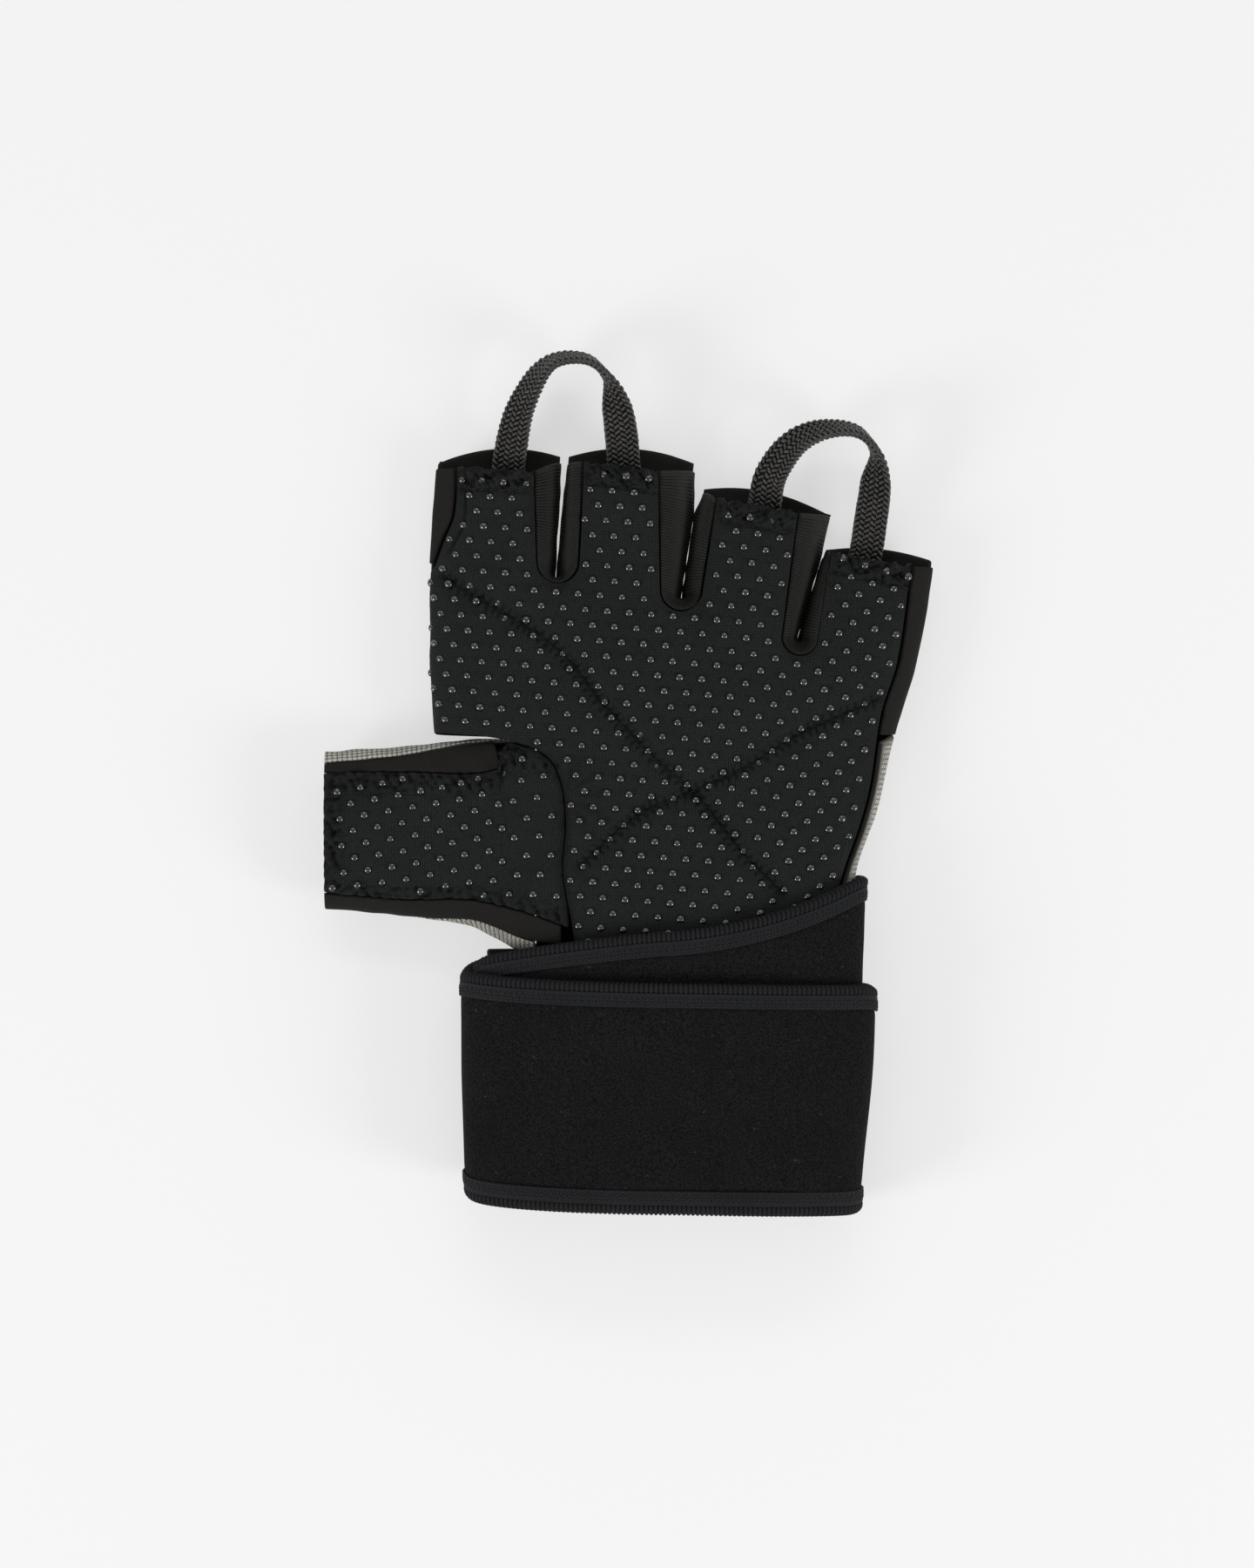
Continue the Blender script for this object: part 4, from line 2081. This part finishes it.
@dataclass
class PullLoop:
    """A flat braided loop, sewn at both ends inside two finger hems, that turns on edge at its top."""

    name: str
    start: tuple[float, float]
    end: tuple[float, float]
    rows: tuple[tuple[float, float, float, float], ...]
    width: float = 8.0
    wall: float = 1.8
    palm_wall: float = 3.0
    rise: float = 28.0
    lift: float = 3.0
    tail: float = 7.0
    columns: int = 6
    strand_pitch: float = 1.28
    strand: tuple[float, float, float] = (2.05, 0.86, 0.8)

    def knots(self) -> tuple[Points, Points]:
        """The places that the braid passes, and its tilt at each."""
        start, end = plan(self.start), plan(self.end)
        span = end - start
        away = np.array([-span[1], span[0]]) / np.linalg.norm(span)
        levels = []
        for spot in (start, end):
            reach = self.width / 2
            roof = min(HAND.palm_height(spot[0] + side * reach, spot[1]) for side in (-1, 1))
            levels.append(float(roof) - self.palm_wall - 2 * GAP - self.wall / 2)
        tail = self.tail / self.rise
        first, last = self.rows[0], self.rows[-1]
        rows = [(first[0], -tail, *first[2:]), *self.rows, (last[0], -tail, *last[2:])]
        places = []
        for across, rise, lift, _ in rows:
            spot = start + span * across + away * rise * self.rise
            level = levels[0] + (levels[1] - levels[0]) * min(max(across, 0), 1)
            places.append([spot[0], spot[1], level + self.lift * lift])
        return np.array(places), np.array([row[3] for row in rows], float)

    def frames(self, count: int) -> tuple[Points, Points, Points]:
        """The braid's middle line with its face and side directions.

        Args:
            count: how many places.

        Returns:
            Places, unit vectors out of the face, and unit vectors across the braid.
        """
        knots, turns = self.knots()
        at = np.linspace(0, 1, count) * (len(knots) - 1)
        row = np.minimum(at.astype(int), len(knots) - 2)
        share = at - row
        line = centripetal(knots, row, share)
        way = unit(np.gradient(line, axis=0))
        outward = np.cross([0, 0, 1.0], way)
        outward = unit(outward)
        up = np.cross(way, outward)
        turn = np.radians(blend(turns[row], turns[row + 1], share))[:, None]
        face = up * np.cos(turn) + outward * np.sin(turn)
        run = run_along(line)
        even = np.linspace(0, run[-1], count)
        stack = np.concatenate([line, face, np.cross(way, face)], axis=1)
        stack = read_at(even, run, stack)
        line, face, side = np.split(stack, 3, axis=1)
        face = unit(face)
        side = unit(side)
        return line, face, side

    def core(self) -> Object:
        """The flat core that the strands lie on."""
        line, face, side = self.frames(240)
        turn = np.linspace(0, math.tau, 28, endpoint=False)
        across = (self.width / 2 - 0.25) * signed_power(np.cos(turn), 0.55)
        out = (self.wall / 2 - 0.22) * signed_power(np.sin(turn), 0.8)
        tube = line[:, None] + side[:, None] * across[None, :, None] + face[:, None] * out[None, :, None]
        faces = tube_faces(len(line), len(turn))
        points = tube.reshape(-1, 3)
        run = np.repeat(run_along(line), len(turn))
        weave = np.stack([run, np.tile(turn, len(line))], axis=1)
        cloth = Cloth(points, turned_out(points, faces), weave)
        return dressed(piece_of(f"{self.name}_core", cloth), BRAID_CORE, (self.name,))

    def strands(self) -> None:
        """The strands of the braid, in columns that lean to one side and the other."""
        line, face, side = self.frames(1200)
        run = run_along(line)
        stack = np.concatenate([line, face, side], axis=1)

        def in_steps(first: float) -> tuple[Points, Points, Points, Points]:
            """Places along the braid, and the ways out of it, across it and along it."""
            at = np.arange(first, run[-1] - 0.5, self.strand_pitch)
            spot, out, over = np.split(read_at(at, run, stack), 3, axis=1)
            return spot, out, over, np.cross(out, over)

        spots = Spots()
        lane = (self.width - 0.5) / self.columns
        for front in (1, -1):
            for column in range(self.columns):
                across = (column + 0.5 - self.columns / 2) * lane
                spot, out, over, way = in_steps(0.5 + (column % 2) * self.strand_pitch / 2)
                edge = abs(across) / (self.width / 2)
                height = (self.wall / 2 - 0.28) * (1 - 0.35 * edge**4)
                lean = 0.62 + 0.55 * edge**6
                lean = lean if column % 2 else -lean
                heading = over * math.cos(lean) + way * math.sin(lean)
                tilt = unit(out * front + over * math.copysign(0.7 * edge**5, across))
                spots.put(spot + over * across + out * front * height, tilt, heading)
        for sign in (1, -1):
            spot, out, over, way = in_steps(0.5)
            heading = out * 0.3 + way * 0.95
            spots.put(spot + over * sign * (self.width / 2 - 0.5), over * sign, heading)
        spots.beads(f"{self.name}_strands", Bead.STITCH, BRAID, self.strand, 8)

    def build(self) -> None:
        """Makes the core and the strands."""
        self.core()
        self.strands()


def centripetal(knots: Points, row: Points, share: Points) -> Points:
    """Runs a smooth curve through knots whose spacing varies, without overshoot.

    Args:
        knots: the knots.
        row: which stretch each place is on.
        share: how far along that stretch.

    Returns:
        The places.
    """
    padded = np.concatenate([[2 * knots[0] - knots[1]], knots, [2 * knots[-1] - knots[-2]]])
    p0, p1, p2, p3 = (padded[row + k] for k in range(4))
    d0, d1, d2 = (np.linalg.norm(b - a, axis=1)[:, None] ** 0.5 for a, b in ((p0, p1), (p1, p2), (p2, p3)))
    first = ((p1 - p0) / d0 - (p2 - p0) / (d0 + d1) + (p2 - p1) / d1) * d1
    last = ((p2 - p1) / d1 - (p3 - p1) / (d1 + d2) + (p3 - p2) / d2) * d1
    t = share[:, None]
    cubic = 2 * p1 - 2 * p2 + first + last
    square = -3 * p1 + 3 * p2 - 2 * first - last
    return ((cubic * t + square) * t + first) * t + p1


LOOPS = (
    PullLoop(
        "index_middle_loop",
        (-0.358, 0.948),
        (-0.116, 0.966),
        (
            (0, 0, 0, 0), (0.06, 0.27, 0.2, 14), (0.2, 0.61, 0.7, 38), (0.48, 0.91, 1, 66),
            (0.79, 0.9, 0.9, 76), (0.95, 0.73, 0.8, 94), (1, 0.48, 0.6, 150), (1.01, 0.22, 0.2, 172),
            (1, 0, 0, 180),
        ),
    ),
    PullLoop(
        "ring_little_loop",
        (0.176, 0.908),
        (0.386, 0.836),
        (
            (0, 0, 0, 0), (-0.08, 0.26, 0.3, 15), (-0.03, 0.6, 0.7, 38), (0.15, 0.81, 1, 58),
            (0.41, 0.92, 1, 74), (0.64, 0.84, 0.8, 94), (0.76, 0.63, 0.6, 150), (0.88, 0.34, 0.2, 172),
            (1, 0, 0, 180),
        ),
    ),
)


@dataclass
class WristWrap:
    """The long neoprene strap that goes almost twice round the wrist, with bound edges and a hook tab."""

    width: float = 52.8
    wall: float = 2.2
    binding_wall: float = 2.8
    binding_width: float = 3.0
    flange_width: float = 2.7
    flange_wall: float = 0.35
    flange_tuck: float = 0.7
    ease: float = 0.5
    tab_width: float = 40.0
    tab_wall: float = 1.4
    tab_turn: float = 0.1
    start: float = 0.16
    end: float = 1.96
    climb: float = 0.07
    rib_pitch: float = 1.1
    rib_depth: float = 0.42
    fold_draw: float = 0.035
    fold_width: float = 0.035

    def offset(self, turn: Points) -> Points:
        """How far the wrap's inner face lies outside the hand's cloth."""
        top = self.start + 1
        pitch = self.binding_wall + GAP
        return self.ease + pitch * smoothstep(top - self.climb, top - self.climb / 5, turn)

    def place(self, turn: Points, across: Points, lift: Points) -> Points:
        """A place on the wrap.

        Args:
            turn: turns round the wrist from the middle of the back.
            across: distance from the wrap's middle line, up the hand.
            lift: distance from its inner face.

        Returns:
            Places in the plan and above the floor.
        """
        fold = (np.asarray(turn) - 0.25) % 0.5
        drawn = self.fold_draw * bell(np.minimum(fold, 0.5 - fold), self.fold_width)
        y = self.width * WRAP_ROWS.at("rise", turn) + across * (1 - drawn)
        return HAND.point(math.pi * (1 + 2 * np.asarray(turn)), y, -(self.offset(turn) + lift))

    def turns(self, step: float) -> tuple[Points, Points]:
        """Turns along the wrap in even steps, with the run in millimetres to each."""
        fine = np.linspace(self.start, self.end, 4000)
        line = self.place(fine, 0.0, self.wall)
        run = run_along(line)
        at = run[-1] * edge_steps(run[-1], step, self.wall / 2)
        return np.interp(at, run, fine), at

    def out(self, place: Points) -> Points:
        """The rough way out of the wrist at places of the wrap."""
        cut = HAND.section(place[..., 1])
        return place - np.stack([cut["middle"], place[..., 1], cut["seam"]], axis=-1)

    def strap(self) -> Object:
        """The neoprene band."""
        turn, _ = self.turns(1.0)
        reach = self.width / 2 - self.binding_width - GAP
        across = reach * (2 * edge_steps(2 * reach, 1.0, self.wall / 2) - 1)
        inner = (self.binding_wall - self.wall) / 2
        place = self.place(turn[:, None], across, inner + self.wall)
        pinch = np.abs(across) / reach
        relief = -0.2 * smoothstep(0.84, 0.93, pinch) + 0.16 * np.clip(ripple(place, 30, 51), -1, 0.6)
        cloth = grid_sheet(place, self.wall, self.out(place), relief)
        return dressed(piece_of("wrist_wrap_neoprene", cloth), NEOPRENE, ("wrist_wrap",))

    def roll(self, side: int) -> Cloth:
        """The rolled tape over one edge, as a tube.

        Args:
            side: 1 for the upper edge and -1 for the lower one.

        Returns:
            The closed mesh with its ribs' values.
        """
        turn, run = self.turns(self.rib_pitch / 8)
        around = np.linspace(0, math.tau, 16, endpoint=False)
        middle = side * (self.width - self.binding_width) / 2
        grid_turn, grid_around = np.meshgrid(turn, around, indexing="ij")
        ends = np.minimum(run, run[-1] - run)
        plump = np.sqrt(np.clip(1 - (1 - np.clip(ends / 1.2, 0, 1)) ** 2, 0.06, 1))[:, None]
        across = middle + self.binding_width / 2 * plump * signed_power(np.cos(grid_around), 0.8)
        half = self.binding_wall / 2
        lift = half + half * plump * signed_power(np.sin(grid_around), 0.8)
        place = self.place(grid_turn, across, lift)
        heart = self.place(grid_turn, middle, half)
        facing = unit(place - heart)
        count = len(around)
        faces = tube_faces(len(turn), count)
        points = place.reshape(-1, 3)
        runs = np.repeat(run, count)
        valley = 1 - np.abs(np.sin(math.pi * runs / self.rib_pitch))
        values = {
            "lining": np.zeros(len(points)),
            "facing": facing.reshape(-1, 3),
            "run": runs,
            "ribbed": np.ones(len(points)) * np.repeat(smoothstep(0, 1, ends), count),
            "shade": valley,
        }
        weave = np.stack([runs, np.tile(around, len(turn))], axis=1)
        return Cloth(points, turned_out(points, faces), weave, values)

    def flange_top(self) -> float:
        """How far the tape's flat part stands off the wrap's inner face."""
        return (self.binding_wall + self.wall) / 2 + self.flange_wall

    def flange(self, side: int) -> Cloth:
        """The flat part of the tape that is sewn onto the neoprene's face."""
        turn, _ = self.turns(1.0)
        edge = self.width / 2 - self.binding_width + self.flange_tuck
        width = self.flange_width + self.flange_tuck
        across = side * (edge - width * edge_steps(width, 0.4, self.flange_wall))
        place = self.place(turn[:, None], across, self.flange_top() - 0.02)
        cloth = grid_sheet(place, self.flange_wall, self.out(place))
        for label in ("run", "ribbed", "shade"):
            cloth.values[label] = np.zeros(len(cloth.points))
        return cloth

    def bindings(self, thread: Spots) -> None:
        """Makes the tape on both edges and its cover stitches."""
        for side, label in ((1, "upper"), (-1, "lower")):
            cloth = self.roll(side).joined(self.flange(side))
            inputs = {"Pitch": self.rib_pitch, "Depth": self.rib_depth * MM, "Material": BINDING.material()}
            piece = worked(piece_of(f"wrap_{label}_binding_tape", cloth), rib_tree(), inputs)
            dressed(piece, BINDING, (f"wrap_{label}_binding",))
            self.cover_stitches(side, thread)

    def cover_stitches(self, side: int, thread: Spots) -> None:
        """Sews the flat part of the tape with a zigzag between two straight rows."""
        turn, _ = self.turns(0.5)
        top = self.flange_top()
        edge = self.width / 2 - self.binding_width
        rows = ((0.3, 1.25, 0.15), (0.85, 0.8, -0.8), (1.6, 0.8, -0.8), (2.3, 1.25, 0.15))
        for inward, pitch, slant in rows:
            line = self.place(turn, side * (edge - inward), top)
            line[:, 2] = np.maximum(line[:, 2], 0.25)
            facing = self.out(line)
            beside = self.place(turn, side * (edge - inward) + 0.3, top)
            way = np.gradient(line, axis=0)
            normal = unit(np.cross(way, beside - line))
            normal *= np.sign((normal * facing).sum(1, keepdims=True))
            thread.sewn(line, normal, pitch, slant=slant)

    def tab(self) -> Object:
        """The hook tab that closes the strap on the back."""
        first = self.end + GAP / HAND.width
        last = self.end + self.tab_turn
        line = self.place(np.linspace(first, last, 50), 0.0, self.tab_wall)
        length = float(run_along(line)[-1])
        turn = blend(first, last, edge_steps(length, 0.7, self.tab_wall / 2))
        share = 2 * edge_steps(self.tab_width, 0.8, self.tab_wall / 2) - 1
        grid_turn, grid_share = np.meshgrid(turn, share, indexing="ij")
        left = (last - grid_turn) / (last - first) * length
        corner = 6.0
        inset = corner - np.sqrt(np.clip(corner**2 - np.clip(corner - left, 0, corner) ** 2, 0, None))
        place = self.place(grid_turn, grid_share * (self.tab_width / 2 - inset), self.tab_wall)
        cloth = grid_sheet(place, self.tab_wall, self.out(place))
        return dressed(piece_of("closure_tab_hook_tape", cloth), HOOK_TAPE, ("closure_tab",))

    def build(self, thread: Spots) -> None:
        """Makes the whole wrap."""
        self.strap()
        self.bindings(thread)
        self.tab()


@dataclass
class Studio:
    """A plain pale floor under soft light, and the camera straight above."""

    camera_height: float = 1.1
    focus_plane: float = 0.012
    lens: float = 110.0
    centre: tuple[float, float] = (-12.0, 92.0)
    floor_size: float = 8.0
    floor_albedo: float = 0.34
    floor_glow: float = 0.545
    floor_drop: float = 0.0002
    room_light: float = 0.52
    lamps: tuple = (
        ("left softbox", (-1.1, -0.55, 0.6), (0.5, 0.5), 9.6),
        ("right softbox", (1.1, -0.55, 0.6), (0.5, 0.5), 9.6),
        ("top softbox", (0.0, 1.1, 1.0), (1.2, 0.25), 3.8),
    )

    def camera(self) -> None:
        """Sets up the camera, looking straight down with the fingertips up."""
        data = bpy.data.cameras.new("camera")
        data.sensor_width = 36.0
        data.lens = self.lens
        data.clip_end = 30.0
        eye = placed("camera", data)
        eye.location = (
            (self.centre[0] + SHIFT[0]) * MM,
            (self.centre[1] + SHIFT[1]) * MM,
            self.focus_plane + self.camera_height,
        )
        bpy.context.scene.camera = eye

    def floor(self) -> None:
        """Lays the floor."""
        half = self.floor_size / 2
        mesh = bpy.data.meshes.new("floor")
        corners = [(-half, -half, 0), (half, -half, 0), (half, half, 0), (-half, half, 0)]
        mesh.from_pydata(corners, [], [(0, 1, 2, 3)])
        made = placed("floor", mesh)
        made.location.z = -self.floor_drop
        material = bpy.data.materials.new("pale floor")
        material.use_nodes = True
        shader = material.node_tree.nodes["Principled BSDF"]
        settings = {
            "Base Color": (*[self.floor_albedo] * 3, 1),
            "Emission Color": (1, 1, 1, 1),
            "Emission Strength": self.floor_glow,
            "Roughness": 0.9,
            "Specular IOR Level": 0.1,
        }
        for label, value in settings.items():
            shader.inputs[label].default_value = value
        mesh.materials.append(material)

    def lamp(
        self, name: str, place: tuple[float, float, float], size: tuple[float, float], power: float
    ) -> None:
        """Adds a soft rectangular lamp that points at the glove.

        Args:
            name: its name.
            place: where it stands, in metres.
            size: its width and height.
            power: its power in watts.
        """
        data = bpy.data.lights.new(name, "AREA")
        data.shape = "RECTANGLE"
        data.size, data.size_y = size
        data.energy = power
        lamp = placed(name, data)
        lamp.location = place
        lamp.rotation_mode = "QUATERNION"
        lamp.rotation_quaternion = (-Vector(place)).to_track_quat("-Z", "Y")

    def light(self) -> None:
        """Sets the room's soft light and the lamps."""
        world = bpy.data.worlds.new("room")
        world.use_nodes = True
        backdrop = world.node_tree.nodes["Background"]
        backdrop.inputs["Color"].default_value = (1, 1, 1, 1)
        backdrop.inputs["Strength"].default_value = self.room_light
        bpy.context.scene.world = world
        for lamp in self.lamps:
            self.lamp(*lamp)

    def build(self) -> None:
        """Sets up floor, light and camera."""
        bpy.context.scene.view_settings.view_transform = "Standard"
        self.camera()
        self.floor()
        self.light()


def main() -> None:
    """Builds the glove and its studio in order."""
    logging.basicConfig(level=logging.INFO, format="%(name)s: %(message)s")
    Studio().build()
    thread = Spots()
    palm = PalmPanel()
    palm.panel()
    palm.dots()
    palm.stitches(thread)
    BackPanel().panel()
    SideStrips().build()
    Gussets().build()
    thumb = ThumbPanels()
    thumb.build()
    thumb.stitches(thread)
    for loop in LOOPS:
        loop.build()
    wrap_thread = Spots()
    WristWrap().build(wrap_thread)
    thread.beads("seam_stitches", Bead.STITCH, THREAD, (2.1, 0.4, 0.3), 11)
    wrap_thread.beads("wrap_cover_stitches", Bead.STITCH, COVER_THREAD, (1.25, 0.36, 0.34), 12)


if __name__ == "__main__":
    main()
